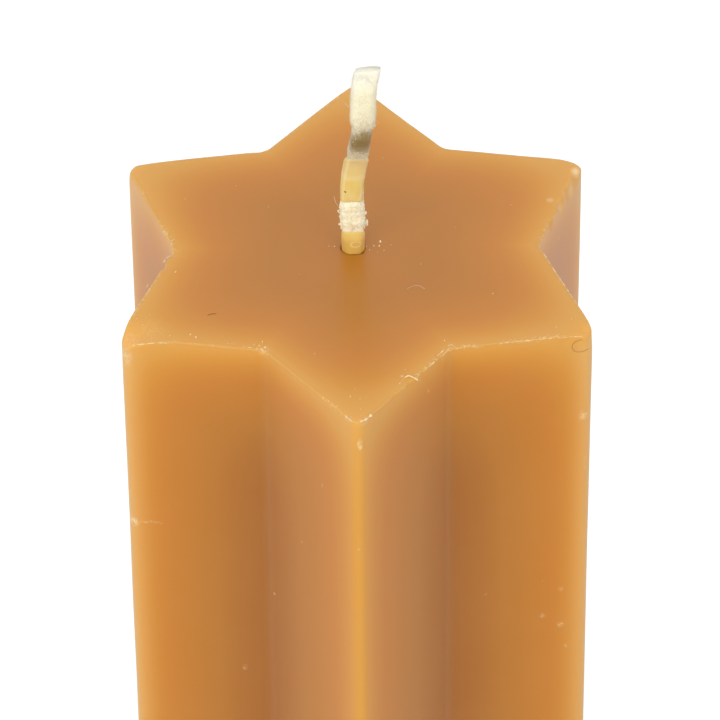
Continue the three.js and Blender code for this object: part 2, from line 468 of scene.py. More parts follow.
# Dents, as X, Y, depth below the top, width, height, and how far in and down they go, in millimetres
NICKS = (
    (31.3, 15.2, 0.0, 2.2, 2.0, 0.75, 0.0), (30.2, 12.3, 0.0, 2.0, 2.0, 0.55, 0.0),
    (29.0, 9.3, 0.0, 1.6, 2.0, 0.8, 0.0), (27.3, 5.0, 0.0, 1.4, 1.6, 0.35, 0.0),
    (-32.2, -19.0, 4.2, 1.8, 1.8, 0.2, 0.0), (-31.6, -18.6, 7.0, 1.4, 1.4, 0.15, 0.0),
    (7.3, -28.9, 0.2, 1.2, 1.2, 0.25, 0.2), (9.0, -26.6, 0.2, 1.0, 1.0, 0.2, 0.2),
    (11.3, -23.6, 0.2, 1.0, 1.0, 0.2, 0.2), (5.2, -31.6, 0.2, 0.9, 0.9, 0.2, 0.2),
    (-12.9, -22.1, 0.2, 1.1, 1.1, 0.25, 0.2), (-25.7, -1.0, 0.2, 1.1, 1.1, 0.3, 0.25),
    (-26.9, -3.8, 0.2, 1.1, 1.1, 0.25, 0.2), (28.8, -20.3, 1.2, 1.3, 1.3, 0.2, 0.0),
    (0.4, -37.8, 1.6, 1.1, 1.1, 0.15, 0.0), (-2.0, 37.0, 0.3, 1.2, 1.2, 0.25, 0.2),
    (-32.0, 18.4, 0.5, 1.4, 1.4, 0.2, 0.2), (-14.0, 22.6, 0.2, 1.2, 1.2, 0.22, 0.2),
    (32.2, -19.2, 26.0, 1.6, 1.6, 0.25, 0.0), (-32.3, -19.2, 34.5, 1.5, 1.5, 0.3, 0.0),
)


def face_distance(wax):
    """From the axis to every face of the star, at the base."""
    half = math.pi / wax.tips
    side = math.sqrt(
        wax.tip_reach**2 + wax.valley_reach**2 - 2 * wax.tip_reach * wax.valley_reach * math.cos(half)
    )
    return wax.tip_reach * wax.valley_reach * math.sin(half) / side


def face_lean(wax):
    """Angle between a tip and the normals of the two faces beside it."""
    return math.pi / 2 - math.asin(face_distance(wax) / wax.tip_reach)


def tip_corner(wax, number, inset):
    """A place on the axis plane of a tip, some way in from its sharp corner at the base."""
    angle = -math.pi / 2 + number * TURN / wax.tips
    return np.array([math.cos(angle), math.sin(angle)]) * (wax.tip_reach - inset)


def star_tree(wax, material):
    """Sweeps a side profile round a star with rounded corners, then draws it in towards the top."""
    n, given = shape_tree("Star Pillar", {
        "Tips": wax.tips,
        "Tip Reach": wax.tip_reach,
        "Valley Reach": wax.valley_reach,
        "Tip Radius": wax.tip_radius,
        "Valley Radius": wax.valley_radius,
        "Points Around": POINTS_AROUND,
        "Narrowing": math.tan(wax.draft) / face_distance(wax),
        "Material": material,
    })
    star, at_tip = n.outputs(
        ("Curve", "Outer Points"),
        "GeometryNodeCurveStar",
        {"Points": given["Tips"], "Inner Radius": given["Valley Reach"], "Outer Radius": given["Tip Reach"]},
    )
    radius = n.get(
        "GeometryNodeSwitch",
        {"Switch": at_tip, "False": given["Valley Radius"], "True": given["Tip Radius"]},
        input_type="FLOAT",
    )
    rounded = n.get(
        "GeometryNodeFilletCurve",
        {"Curve": star, "Count": FILLET_POINTS, "Radius": radius, "Limit Radius": True},
        mode="POLY",
    )
    even = n.get("GeometryNodeResampleCurve", {"Curve": rounded, "Count": given["Points Around"]})
    wall = n.get("GeometryNodeCurveToMesh", {"Curve": even, "Profile Curve": given["Geometry"]})
    x, y, z = n.axes(n.get("GeometryNodeInputPosition"))
    share = 1.0 - z * given["Narrowing"]
    drawn = n.combined(x * share, y * share, z)
    moved = n.get("GeometryNodeSetPosition", {"Geometry": wall, "Position": drawn})
    turned = n.get("GeometryNodeTransform", {"Geometry": moved, "Rotation": (0, 0, math.radians(30))})
    return n.end(turned, given["Material"])


def side_profile(wax):
    """The side from the base plane to just under the rim, as inward steps and heights, closer at the top."""
    points = []
    foot = wax.foot_radius
    for i in range(FOOT_ROWS + 1):
        angle = math.radians(90 * i / FOOT_ROWS)
        points.append((-foot * (1 - math.sin(angle)), foot * (1 - math.cos(angle))))
    high = TOP - 2.2 * MM
    for i in range(1, SIDE_ROWS + 1):
        points.append((0, high - (high - foot) * (1 - i / SIDE_ROWS) ** 1.6))
    return [(step, -height, 0) for step, height in points]


def rim_rings(below, wax):
    """The rim over the last straight ring: almost sharp, rounded off at the tips, with a line of flash."""
    ahead = np.roll(below, -1, axis=0) - np.roll(below, 1, axis=0)
    outward = np.stack([ahead[:, 1], -ahead[:, 0], 0 * ahead[:, 0]], axis=1)
    outward /= np.linalg.norm(outward, axis=1, keepdims=True)
    if (outward * below).sum() < 0:
        outward = -outward
    radius = wax.rim_radius * (1 + 0.8 * ripple(below, 110))
    flash = 0.04 * MM * np.clip(ripple(below, 160, 3) + 0.7 * ripple(below, 620) - 0.2, 0, 1)
    for number, wear in enumerate(TIP_WEAR):
        away = np.linalg.norm(below[:, :2] - tip_corner(wax, number, 1.9 * MM), axis=1)
        radius += wear * MM * np.exp(-((away / (2.4 * MM)) ** 2))
    radius = np.minimum(radius, 0.9 * wax.tip_radius)

    def ring(inset, height):
        ring = below - outward * (inset + (height - below[:, 2]) * math.tan(wax.draft))[:, None]
        ring[:, 2] = height
        return ring

    start = TOP - radius
    rings = [ring(0, below[:, 2] + (start - below[:, 2]) * share) for share in (0.35, 0.65, 0.85, 0.95)]
    rings.append(ring(0, start - 0.04 * MM))
    rings.append(ring(-0.6 * flash, start))
    rings.append(ring(-flash, start + 0.05 * MM))
    for i in range(2, RIM_ROWS + 1):
        angle = math.radians(90 * i / RIM_ROWS)
        rest = flash * math.exp(-(i - 1) / 1.2)
        inset = radius * (1 - math.cos(angle)) - rest * math.cos(angle)
        rings.append(ring(inset, start + radius * math.sin(angle) + rest * math.sin(angle)))
    return rings


def weathered(points, wax):
    """Mould waviness over every face, a softer uneven rim, and the knocks."""
    middle = points[:, :2]
    reach = np.maximum(np.linalg.norm(middle, axis=1, keepdims=True), 1 * MM)
    outward = middle / reach
    below = TOP - points[:, 2]
    onto_side = eased(below, 0.0, 0.8 * MM)
    edge = np.exp(-((below - 0.3 * MM) / (0.9 * MM)) ** 2) * eased(reach[:, 0], 18 * MM, 24 * MM)
    moved = points.copy()
    push = 0.07 * MM * ripple(points, 45) * onto_side + 0.03 * MM * ripple(points, 380) * edge
    moved[:, :2] += outward * push[:, None]
    on_top = (below < 0.9 * MM) & (reach[:, 0] > 3.2 * MM)
    moved[on_top, 2] += 0.04 * MM * ripple(points[on_top], 70, 9)
    for number, (droop, spread, drawn) in enumerate(TIP_DROOP):
        corner = tip_corner(wax, number, 1.24 * MM)
        away = np.linalg.norm((middle - corner) * (1, 2), axis=1)
        share = np.exp(-((away / (spread * MM)) ** 2))
        moved[:, 2] -= droop * MM * share * (1 - eased(below, 0.0, 9 * MM))
        moved[:, :2] -= outward * (drawn * MM * share * (1 - eased(below, 0.0, 4 * MM)))[:, None]
    pitch = TURN / wax.tips
    for x, y, drop, wide, tall, depth, sink in NICKS:
        centre = np.array([x * MM, y * MM, TOP - drop * MM])
        near = np.linalg.norm((moved - centre) / (wide, wide, tall), axis=1) / MM
        hit = near < 1
        angle = math.atan2(y, x)
        tip = round((angle + math.pi / 2) / pitch) * pitch - math.pi / 2
        facing = tip + math.copysign(face_lean(wax), angle - tip)
        push = np.array([-depth * math.cos(facing), -depth * math.sin(facing), -sink]) * MM
        rough = 0.9 + 0.25 * ripple(moved[hit], (500, 500, 60))
        moved[hit] += ((1 - near[hit] ** 2) ** 2 * rough)[:, None] * push
    return moved


# How square the wick's section is: 2 is round. It is rounder where it leaves the hole.
SQUARENESS = 3.0
FOOT_SQUARENESS = 2.25


def squared(angles, power=SQUARENESS):
    """How far a rounded square reaches at each angle, for a half width of 1."""
    return (np.abs(np.cos(angles)) ** power + np.abs(np.sin(angles)) ** power) ** (-1 / power)


def hole_lip(angles, coat_width, open_share):
    """The mouth of the hole: against the wick, but for shallow crescents left and at the front right."""
    def crescent(middle, spread):
        away = (angles - math.radians(middle) + math.pi) % TURN - math.pi
        return np.exp(-((away / math.radians(spread)) ** 2))

    gap = 0.22 * crescent(-172, 20) + 0.28 * crescent(-48, 17)
    reach = coat_width / 2 * squared(angles, FOOT_SQUARENESS)
    return reach + (gap * open_share - 0.01) * MM


def body_mesh(wax, coat_width, material):
    """The whole body as one chain of rings: side, top face, hole, seat of the tab and base."""
    profile = side_profile(wax)
    wall = grown(curve_object("side_profile", profile), "wax_wall", star_tree(wax, material))
    points = np.empty(len(wall.vertices) * 3)
    wall.vertices.foreach_get("co", points)
    side = points.reshape(POINTS_AROUND, len(profile), 3).transpose(1, 0, 2)
    bpy.data.meshes.remove(wall)

    rings = list(side) + rim_rings(side[-1], wax)
    first, last = side[0], rings[-1]
    around = np.arctan2(last[:, 1], last[:, 0])

    def mouth(step, depth, wider=0.0):
        """A ring of the hole's lip, on every so many of the points around."""
        angles = around[::step]
        open_share = 1 - eased(depth * MM, 0.02 * MM, 0.42 * MM)
        return level_ring(angles, hole_lip(angles, coat_width, open_share) + wider * MM, TOP - depth * MM)

    for step, shares in (
        (1, (0.012, 0.03, 0.055, 0.085, 0.12, 0.16, 0.2, 0.25)),
        (2, (0.3, 0.36, 0.42, 0.48, 0.54)),
        (4, (0.6, 0.67, 0.74, 0.8, 0.85, 0.89, 0.92, 0.945)),
        (8, (0.965, 0.98, 0.99, 1.0)),
    ):
        for share in shares:
            rings.append(blended(last[::step], mouth(step, 0.0, 0.07), share))
    for depth in (0.07, 0.2, 0.35, 0.5, 1.2):
        rings.append(mouth(8, depth))
    hole = wax.hole_radius
    seat = TAB_HIGH.x - WICK_X + 0.3 * MM
    for step, radius, height in (
        (8, hole, TOP - 4 * MM),
        (8, hole, TOP / 2),
        (8, hole, 1.8 * MM),
        (8, hole + 0.13 * MM, 1.3 * MM),
        (8, hole + 0.5 * MM, 0.93 * MM),
        (8, hole + 1 * MM, 0.8 * MM),
        (4, 6 * MM, 0.8 * MM),
        (2, seat - 0.1 * MM, 0.8 * MM),
        (2, seat, 0.7 * MM),
        (2, seat, 0.1 * MM),
        (2, seat + 0.1 * MM, 0.0),
    ):
        rings.append(level_ring(around[::step], radius, height))
    for share in (0.75, 0.5, 0.3, 0.12, 0.03):
        rings.append(blended(first, level_ring(around, seat, 0.0), share))
    counts = np.cumsum([len(ring) for ring in rings])[:-1]
    return looped_mesh("wax_body_shape", np.split(weathered(np.concatenate(rings), wax), counts))


# How the painted light from two faces adds up: 1 in full, and more for less
GLOW_SUM = 1.4
# Pale scuffs on the faces, as X, Y, depth below the top, width and height in millimetres, and strength
SCUFFS = (
    (-32.1, -19.2, 34.3, 1.2, 1.2, 0.8), (-29.6, -19.7, 34.0, 2.6, 0.35, 0.4),
    (31.4, -19.3, 14.9, 0.9, 1.4, 0.5), (32.1, -19.3, 24.0, 0.5, 2.6, 0.35),
    (26.2, -20.3, 45.7, 0.3, 0.3, 0.8), (28.8, -19.9, 47.7, 0.5, 0.8, 0.35),
    (26.3, -20.3, 52.6, 0.9, 0.7, 0.3), (29.1, -19.9, 54.7, 0.8, 0.9, 0.5),
    (29.9, -19.8, 59.2, 0.4, 0.6, 0.4), (18.1, -21.5, 46.9, 0.25, 0.25, 0.7),
    (-16.7, -21.8, 60.8, 0.7, 0.8, 0.4), (-5.0, -31.9, 16.1, 0.25, 0.8, 0.6),
    (-8.0, -28.3, 30.1, 0.3, 0.5, 0.6), (-31.9, -18.9, 3.6, 1.4, 2.6, 0.55),
    (-31.0, -18.6, 0.9, 3.2, 1.6, 0.25), (-28.5, -17.5, 0.2, 3.6, 1.2, 0.22),
    (0.2, -37.2, 4.1, 0.4, 1.3, 0.85), (0.9, -36.6, 0.3, 1.5, 0.8, 0.4),
    (-13.0, -22.0, 0.3, 1.6, 0.8, 0.4), (12.9, -21.7, 0.3, 1.6, 0.8, 0.15),
    (9.7, -26.0, 4.2, 0.2, 0.9, 0.6), (28.9, 8.6, 5.8, 0.25, 0.5, 0.7),
    (-18.0, 26.0, 18.0, 1.1, 0.7, 0.4), (9.0, 27.0, 40.0, 0.5, 2.0, 0.35),
    (28.0, 10.0, 70.0, 1.4, 0.6, 0.35), (-30.0, 8.0, 52.0, 0.4, 2.2, 0.35),
    (-2.0, 36.8, 96.0, 0.8, 1.6, 0.45),
)
# Pale spots at the chips, partly wax bloom and partly painted highlight, given in the same way
BLOOM_AND_GLINT_SPOTS = (
    (31.6, 16.6, 0.2, 1.2, 1.2, 0.75), (27.6, 10.0, 0.0, 0.8, 0.8, 0.4),
    (30.4, 13.6, 1.2, 1.6, 1.6, 0.35), (29.0, 9.6, 1.2, 1.4, 1.5, 0.35),
)
# The way from the deep colour to the painted glow colour, in red, green and blue, for each half amount of
# painted light
PAINTED_GLOW_STOPS = {
    0.015: (0, 0, 0),
    0.06: (0.22, 0.145, 0.015),
    0.12: (0.34, 0.188, 0.016),
    0.2: (0.46, 0.233, 0.036),
    0.3: (0.60, 0.38, 0.085),
    0.36: (0.68, 0.47, 0.15),
    0.43: (0.73, 0.58, 0.27),
    0.5: (0.76, 0.65, 0.38),
    0.75: (0.89, 0.78, 0.52),
    1.0: (1, 0.95, 0.8),
}
CLOUD_COLOUR = (0.66, 0.36, 0.12, 1)
# Painted backlight: the paler colour near the outer tips, for light that comes through their thin edges
PAINTED_BACKLIGHT_COLOUR = (0.95, 0.74, 0.42, 1)
# A deeper tone that tones down the painted glow within a millimetre of the rim
RIM_GLOW_TONE = (0.56, 0.28, 0.07, 1)
# Pale colour of the scuffs and dust, and of the painted highlights at the chips and along the rim
PALE_WEAR_AND_GLINT_COLOUR = (0.90, 0.69, 0.39, 1)


def painted_wax_glow(n, wax):
    """Painted glow: light inside the wax that is painted into the base colour, from 0 deep down to nearly 2
    where three faces meet, the place, the depth from the rim, and how much of the painted light comes through
    a tip's thin edge."""
    place = n.place()
    x, y, z = n.axes(place)
    pitch = TURN / wax.tips
    reach = n.math("SQRT", x**2.0 + y**2.0)
    part = n.math("MODULO", n.math("ARCTAN2", y, x) + 2.25 * TURN, pitch)
    fold = pitch / 2 - n.math("ABSOLUTE", part - pitch / 2)
    plane = face_distance(wax) - z * math.tan(wax.draft)

    def lit(depth):
        return n.math("EXPONENT", n.largest(depth, 0.0) / -wax.glow_depth)

    depths = [plane - reach * n.math("COSINE", fold + lean) for lean in (-face_lean(wax), face_lean(wax))]
    below = TOP - z
    faces = [lit(depths[0]), lit(depths[1]), lit(n.math("MINIMUM", below, z))]
    light = n.largest(*faces) ** GLOW_SUM * -1.0
    for face in faces:
        light = face**GLOW_SUM + light
    light = n.largest(light, 0.0) ** (1 / GLOW_SUM)
    open_top = n.ranged(below, 0.0, 2 * MM, 0.12, 0.0)
    from_rim = n.math("MINIMUM", *depths) + below
    return n.largest(light, open_top), place, from_rim, n.math("MINIMUM", faces[0], faces[1])


def near_spots(n, place, spots):
    """For each listed spot, the distance from its middle in widths, and its strength."""
    for x, y, drop, wide, tall, strength in spots:
        sizes = np.array([wide, wide, tall]) * MM
        centre = np.array([x * MM, y * MM, TOP - drop * MM])
        yield n.length(n.vector("MULTIPLY_ADD", place, tuple(1 / sizes), tuple(-centre / sizes))), strength


def wax_wear_and_glints(n, place, from_rim):
    """Share of pale colour at a place: scuffs, pale spots at the chips that are partly bloom and partly
    painted highlight, grains along the rim that are partly worn flash and partly painted rim highlight, and
    fine dust.
    """
    ragged = place + n.wobble(place, 1400.0) * (0.9 * MM)
    wear_and_glints = 0.0
    for distance, strength in near_spots(n, ragged, SCUFFS):
        wear_and_glints = n.largest(wear_and_glints, n.math("MULTIPLY_ADD", distance, -1.4 * strength, 1.4 * strength))
    smooth = 0.0
    # Painted highlight, with some bloom, at the chips
    for distance, strength in near_spots(n, place, BLOOM_AND_GLINT_SPOTS):
        smooth = n.largest(smooth, n.ranged(distance, 1.0, 0.1, 0.0, strength))
    grain = n.noise(place, 2200.0, 3.0, 0.7)
    wear_and_glints = n.ranged(wear_and_glints, 0.0, 1.0) * n.ranged(grain, 0.45, 0.57, 0.2, 1.0)
    # Grains within a millimetre of the rim: partly worn flash, partly a painted rim highlight
    patches = n.ranged(n.noise(place, 150.0), 0.44, 0.62) * n.ranged(grain, 0.5, 0.6, 0.0, 0.5)
    wear_and_glints = n.largest(wear_and_glints, patches * n.ranged(from_rim, 0.8 * MM, 0.15 * MM))
    cells = {"Vector": place, "Scale": 330.0, "Randomness": 1.0}
    distance, lot = n.outputs(("Distance", "Color"), "ShaderNodeTexVoronoi", cells)
    chosen = n.math("GREATER_THAN", n.get("ShaderNodeSeparateColor", {0: lot}), 0.985) * 0.45
    return n.largest(wear_and_glints, smooth, n.ranged(distance, 0.11, 0.05) * chosen)


def wax_material(wax):
    material, n, shader = plain_material("beeswax")
    light, place, from_rim, through = painted_wax_glow(n, wax)
    body, edge = np.array(wax.body_colour), np.array(wax.painted_glow_colour)
    stops = {at: body + (edge - body) * np.array(share) for at, share in PAINTED_GLOW_STOPS.items()}
    # Painted glow: the base colour runs from the deep colour to the glow colour by the painted light.
    glow = n.ramp(light * 0.5, stops)
    cloud = n.noise(place, 60.0, 3.0, 0.55)
    colour = n.mix(n.ranged(cloud, 0.35, 0.65, 0.0, 0.04), glow, CLOUD_COLOUR)
    # Painted backlight: paler near the outer tips just under the rim, where a tip's thin edge lets light
    # through.
    x, _, z = n.axes(place)
    aside = n.ranged(n.math("ABSOLUTE", x), 18 * MM, 30 * MM, 0.0, 0.2)
    aside = aside * n.ranged(z, TOP - 0.5 * MM, TOP - 3 * MM)
    colour = n.mix(aside * n.ranged(through, 0.45, 1.0), colour, PAINTED_BACKLIGHT_COLOUR)
    # Tones down the painted glow within a millimetre of the rim.
    colour = n.mix(n.ranged(from_rim, 0.8 * MM, 0.15 * MM, 0.0, 0.28), colour, RIM_GLOW_TONE)
    wear_and_glints = wax_wear_and_glints(n, place, from_rim)
    height = n.noise(place, 90.0) + n.noise(place, 1100.0, 3.0) * 0.03 + wear_and_glints * 0.12
    n.fill(shader, {
        "Base Color": n.mix(wear_and_glints, colour, PALE_WEAR_AND_GLINT_COLOUR),
        "Roughness": n.ranged(cloud, 0.3, 0.7, 0.29, 0.34) + wear_and_glints * 0.3,
        "Normal": n.bump(height, 0.5, 0.12 * MM),
        "IOR": 1.5,
        **scattering(0.3, (1.0, 0.5, 0.25), 4),
    })
    return material


class CANDLE_OT_add_wax_body(bpy.types.Operator):
    """Adds the moulded star of beeswax"""

    bl_idname = "candle.add_wax_body"
    bl_label = "Wax Body"

    def execute(self, context):
        wax = context.scene.candle_wax
        material = wax_material(wax)
        mesh = body_mesh(wax, context.scene.candle_wick.coat_width, material)
        finished("wax_body_look", mesh, material, "wax", "wax_body")
        return {"FINISHED"}


# Wick

# The stub above the top face, from the point where the wick leaves the wax, in millimetres
STUB_ROUTE = (
    (0, 0, 0), (-0.03, 0, 3.5), (-0.1, 0, 8), (-0.05, 0.06, 11.4), (0.3, 0, 14.2), (0.68, -0.45, 16.7),
    (0.97, -1.7, 19.4), (1.24, -3.05, 22.2), (1.48, -4.05, 25.1), (1.55, -4.45, 28.4), (1.68, -4.5, 31.5),
    (2.11, -4.44, 34.5),
)
STEPS_BETWEEN_KNOTS = 40
PINCH_LENGTH = 3.2 * MM
PINCH = 0.6


class WickLine:
    """The wick's middle line. Lengths count from the top face, and are negative inside the wax."""

    def __init__(self, wick):
        self.wick = wick
        knots = np.array(STUB_ROUTE) * MM + (WICK_X, 0, TOP)
        knots = np.vstack([2 * knots[0] - knots[1], knots, 2 * knots[-1] - knots[-2]])
        points = [knots[1]]
        for a, b, c, d in zip(knots, knots[1:], knots[2:], knots[3:]):
            before, step, after = (np.linalg.norm(q - p) ** 0.5 for p, q in ((a, b), (b, c), (c, d)))
            leave = ((b - a) / before - (c - a) / (before + step) + (c - b) / step) * step
            arrive = ((c - b) / step - (d - b) / (step + after) + (d - c) / after) * step
            for i in range(1, STEPS_BETWEEN_KNOTS + 1):
                t = i / STEPS_BETWEEN_KNOTS
                square = (3 * (c - b) - 2 * leave - arrive) * t**2
                points.append(b + leave * t + square + (2 * (b - c) + leave + arrive) * t**3)
        self.points = np.array(points)
        steps = np.linalg.norm(np.diff(self.points, axis=0), axis=1)
        self.lengths = np.concatenate([[0], np.cumsum(steps)])
        self.end = self.lengths[-1]

    def place(self, along):
        found = np.stack([np.interp(along, self.lengths, self.points[:, i]) for i in range(3)], axis=-1)
        found[..., 2] += np.minimum(along, 0)
        return found

    def frame(self, along):
        """Place, side and back at each length, which lie along X and Y where the wick is upright."""
        step = 0.3 * MM
        middle = np.minimum(along, self.end - step)
        ahead = self.place(middle + step) - self.place(middle - step)
        ahead /= np.linalg.norm(ahead, axis=-1, keepdims=True)
        back = np.cross(ahead, (1.0, 0.0, 0.0))
        back /= np.linalg.norm(back, axis=-1, keepdims=True)
        return self.place(along), np.cross(back, ahead), back

    def surface(self, along, angles, width, power=SQUARENESS):
        """Points on a rounded square of some width round the line, pinched flat at its cut end."""
        place, side, back = self.frame(along)
        c, s = np.cos(angles), np.sin(angles)
        reach = width / 2 * squared(angles, power)
        cut = eased(along, self.end - PINCH_LENGTH, self.end)
        wide = reach * c * (1 + 0.12 * cut * cut * (c > 0))
        place[..., 2] += (0.1 + 0.5 * c) * MM * cut**3
        return place + side * wide[..., None] + back * (reach * s * (1 - PINCH * cut))[..., None]

    def cotton_width(self, along):
        """The cotton is gripped in the wax and its coats, and swells just outside them."""
        wick = self.wick
        width = np.full(np.shape(along), wick.gripped_width)
        gap, change = 0.15 * MM, 0.9 * MM
        for start, target in (
            (wick.lower_coat_end + gap, wick.puff_width),
            (wick.upper_coat_start - gap - change, wick.gripped_width),
            (wick.upper_coat_end + gap, wick.bend_width),
            (wick.bend_end, wick.tuft_width),
        ):
            width = width + (target - width) * eased(along, start, start + change)
        return width

    def skin(self, name, along, sides, share):
        """A closed tube through the cotton, at a share of its width."""
        angles = turns(sides)
        widths = self.cotton_width(along) * share
        rings = [self.surface(np.full(sides, at), angles, width) for at, width in zip(along, widths)]
        return looped_mesh(name, rings, closed=False)


def braid_tree(wick, material):
    """Plaits eight strands of yarns round a line, whose points' radius is half the wick's width."""
    n, given = shape_tree("Square Braid", {
        "Pitch": wick.braid_pitch,
        "Yarns": wick.yarns,
        "Squareness": SQUARENESS,
        "Looseness": 0.06 * MM,
        "Fray": 0.002,
        "Pinch": PINCH,
        "Pinch Length": PINCH_LENGTH,
        "Seed": 4,
        "Material": material,
    })
    length = n.get("GeometryNodeSplineParameter", output="Length")
    copies, number = n.outputs(
        ("Geometry", "Duplicate Index"),
        "GeometryNodeDuplicateElements",
        {"Geometry": n.stored(given["Geometry"], "along", length), "Amount": given["Yarns"] * 8.0},
        domain="SPLINE",
    )
    strand = n.math("FLOOR", number / given["Yarns"])
    yarn = n.math("MODULO", number, given["Yarns"])
    sense = 1.0 - n.math("MODULO", strand, 2.0) * 2.0
    quarter = n.math("FLOOR", strand / 2.0)
    angle = sense * (length / given["Pitch"] * TURN) + quarter * (TURN / 4) + (1.0 - sense) * (TURN / 16)
    c, s = n.math("COSINE", angle), n.math("SINE", angle)
    power = given["Squareness"]
    corner = (n.math("ABSOLUTE", c) ** power + n.math("ABSOLUTE", s) ** power) ** (-1.0 / power)

    half = n.get("GeometryNodeInputRadius")
    over = sense * n.math("SINE", angle * 2.0)
    reach = half * (corner * 0.7 + over * 0.09)
    ahead = n.get("GeometryNodeInputTangent")
    back = n.vector("NORMALIZE", n.vector("CROSS_PRODUCT", ahead, (1.0, 0.0, 0.0)))
    side = n.vector("CROSS_PRODUCT", back, ahead)
    left = n.get("GeometryNodeSplineLength", output="Length") - length
    cut = n.ranged(left, given["Pinch Length"], 0.0)
    side = side * (1.0 + cut * cut * 0.12 * n.math("GREATER_THAN", c, 0.0))
    back = back * (1.0 - cut * given["Pinch"])
    outward = side * c + back * s
    across = (back * c - side * s) * 0.75 - ahead * sense * 0.66

    twist = length / 0.006 * TURN + yarn / given["Yarns"] * TURN
    lift = half * (n.math("SINE", twist) * 0.09)
    shift = half * (n.math("COSINE", twist) * 0.27)
    offset = outward * (reach + lift) + across * shift
    start = n.get("GeometryNodeInputPosition")
    wander = n.wobble(start + offset, 900.0, 1.0, W=number * 3.7) * (given["Looseness"] * 2.0)
    moved = n.get("GeometryNodeSetPosition", {"Geometry": copies, "Offset": offset + wander})
    tinted = n.stored(moved, "yarn", n.random(0.0, 1.0, number, given["Seed"]))
    end = 0.9968 - n.random(0.0, given["Fray"], number, given["Seed"])
    uneven = n.get("GeometryNodeTrimCurve", {0: tinted, 3: end}, mode="FACTOR")
    ring = n.get("GeometryNodeCurvePrimitiveCircle", {"Resolution": 6, "Radius": 1.0})
    ring = n.stored(ring, "around", n.get("GeometryNodeSplineParameter", output="Factor"))
    tubes = n.get(
        "GeometryNodeCurveToMesh",
        {"Curve": uneven, "Profile Curve": ring, "Scale": half * 0.15, "Fill Caps": True},
    )
    return n.end(n.get("GeometryNodeSetShadeSmooth", {"Geometry": tubes}), given["Material"])


# How dark the cotton is at the bend, at lengths in millimetres: partly wax soaked into it, partly painted
# shade of the bend's underside
BEND_SOAK_AND_SHADE = {
    3.5: 0.0, 12.0: 0.0, 16.0: 0.3, 18.2: 0.42, 18.9: 0.48, 19.7: 0.54, 20.5: 0.72, 21.4: 0.88, 22.5: 1.0,
    23.6: 0.98, 24.6: 0.9, 25.3: 0.78, 25.9: 0.56, 26.4: 0.38, 27.0: 0.27, 27.7: 0.17, 28.6: 0.07, 29.8: 0.0,
}
SOAKED_RANGE = 40
END_COLOUR = (1.0, 0.95, 0.78, 1)


def cotton_colour(n, wick, along):
    """Cream cotton, darker and olive at the bend, partly where it soaked up wax and partly as painted shade
    of the bend's underside, and whiter at its end.
    """
    # The soaked colour here is partly wax and partly painted shade of the bend's underside.
    cotton, soaked = np.array(wick.cotton_colour), np.array(wick.soaked_and_shaded_colour)
    stops = {length / SOAKED_RANGE: cotton + (soaked - cotton) * share for length, share in BEND_SOAK_AND_SHADE.items()}
    ramp = n.ramp(along / (SOAKED_RANGE * MM), stops)
    return n.mix(n.ranged(along, 31.5 * MM, 35.2 * MM), ramp, END_COLOUR)


def cotton_material(wick, name="cotton"):
    material, n, shader = plain_material(name)
    place = n.place()
    along = n.attribute("along") - BURIED
    yarn = n.attribute("yarn")
    # The blur and slant move the edge of the soaked, painted-shade zone at the bend
    blur = (n.noise(place, 1800.0, 3.0, 0.7) - 0.5) * (4 * MM)
    aside = n.math("MINIMUM", n.axes(place)[0] - (WICK_X + 1.3 * MM), 0.0)
    slant = aside * n.ranged(along, 21.7 * MM, 23.2 * MM, 0.0, -1.1)
    fine = n.ranged(n.noise(place, 2600.0, 3.0), 0.3, 0.7, 0.95, 1.0)
    wet = n.ranged(along, 20 * MM, 21.5 * MM) * n.ranged(along, 26.5 * MM, 24.5 * MM)
    thread = n.combined(along * 700.0, n.attribute("around") * 9.0, yarn * 50.0)
    shade = n.ranged(yarn, 0.0, 1.0, 0.96, 1.0) * fine
    n.fill(shader, {
        "Base Color": cotton_colour(n, wick, along + (blur + slant)) * shade,
        "Roughness": n.math("MULTIPLY_ADD", wet, -0.42, 0.85),
        "Normal": n.bump(n.noise(thread, 1.0, 3.0, 0.6), 0.7, 0.08 * MM),
        "Specular IOR Level": 0.25,
        "Sheen Weight": 0.35,
        **scattering(0.35, (1.0, 0.8, 0.6), 0.5),
    })
    return material


def tagged(mesh, along, sides):
    """Writes what the cotton's material reads onto a skin of rings round the wick."""
    angles = np.tile(turns(sides), len(along))
    write_values(mesh, "along", np.repeat(along, sides) + BURIED)
    write_values(mesh, "around", ((angles - math.pi / 2) % TURN) / TURN * 7)
    write_values(mesh, "yarn", np.full(len(angles), 0.5))
    return mesh


def core_mesh(line):
    """What fills the braid: loose under dry cotton, flush with it where wax filled the grooves."""
    sides = 48
    buried = np.arange(-BURIED + 0.1 * MM, -3 * MM, 6 * MM)
    along = np.concatenate([buried, np.arange(-3 * MM, line.end - 0.45 * MM, 0.2 * MM)])
    fill = 0.86 + 0.125 * eased(along, 16.6 * MM, 17.6 * MM) * (1 - eased(along, 25.0 * MM, 26.4 * MM))
    return tagged(line.skin("wick_core_shape", along, sides, fill), along, sides)


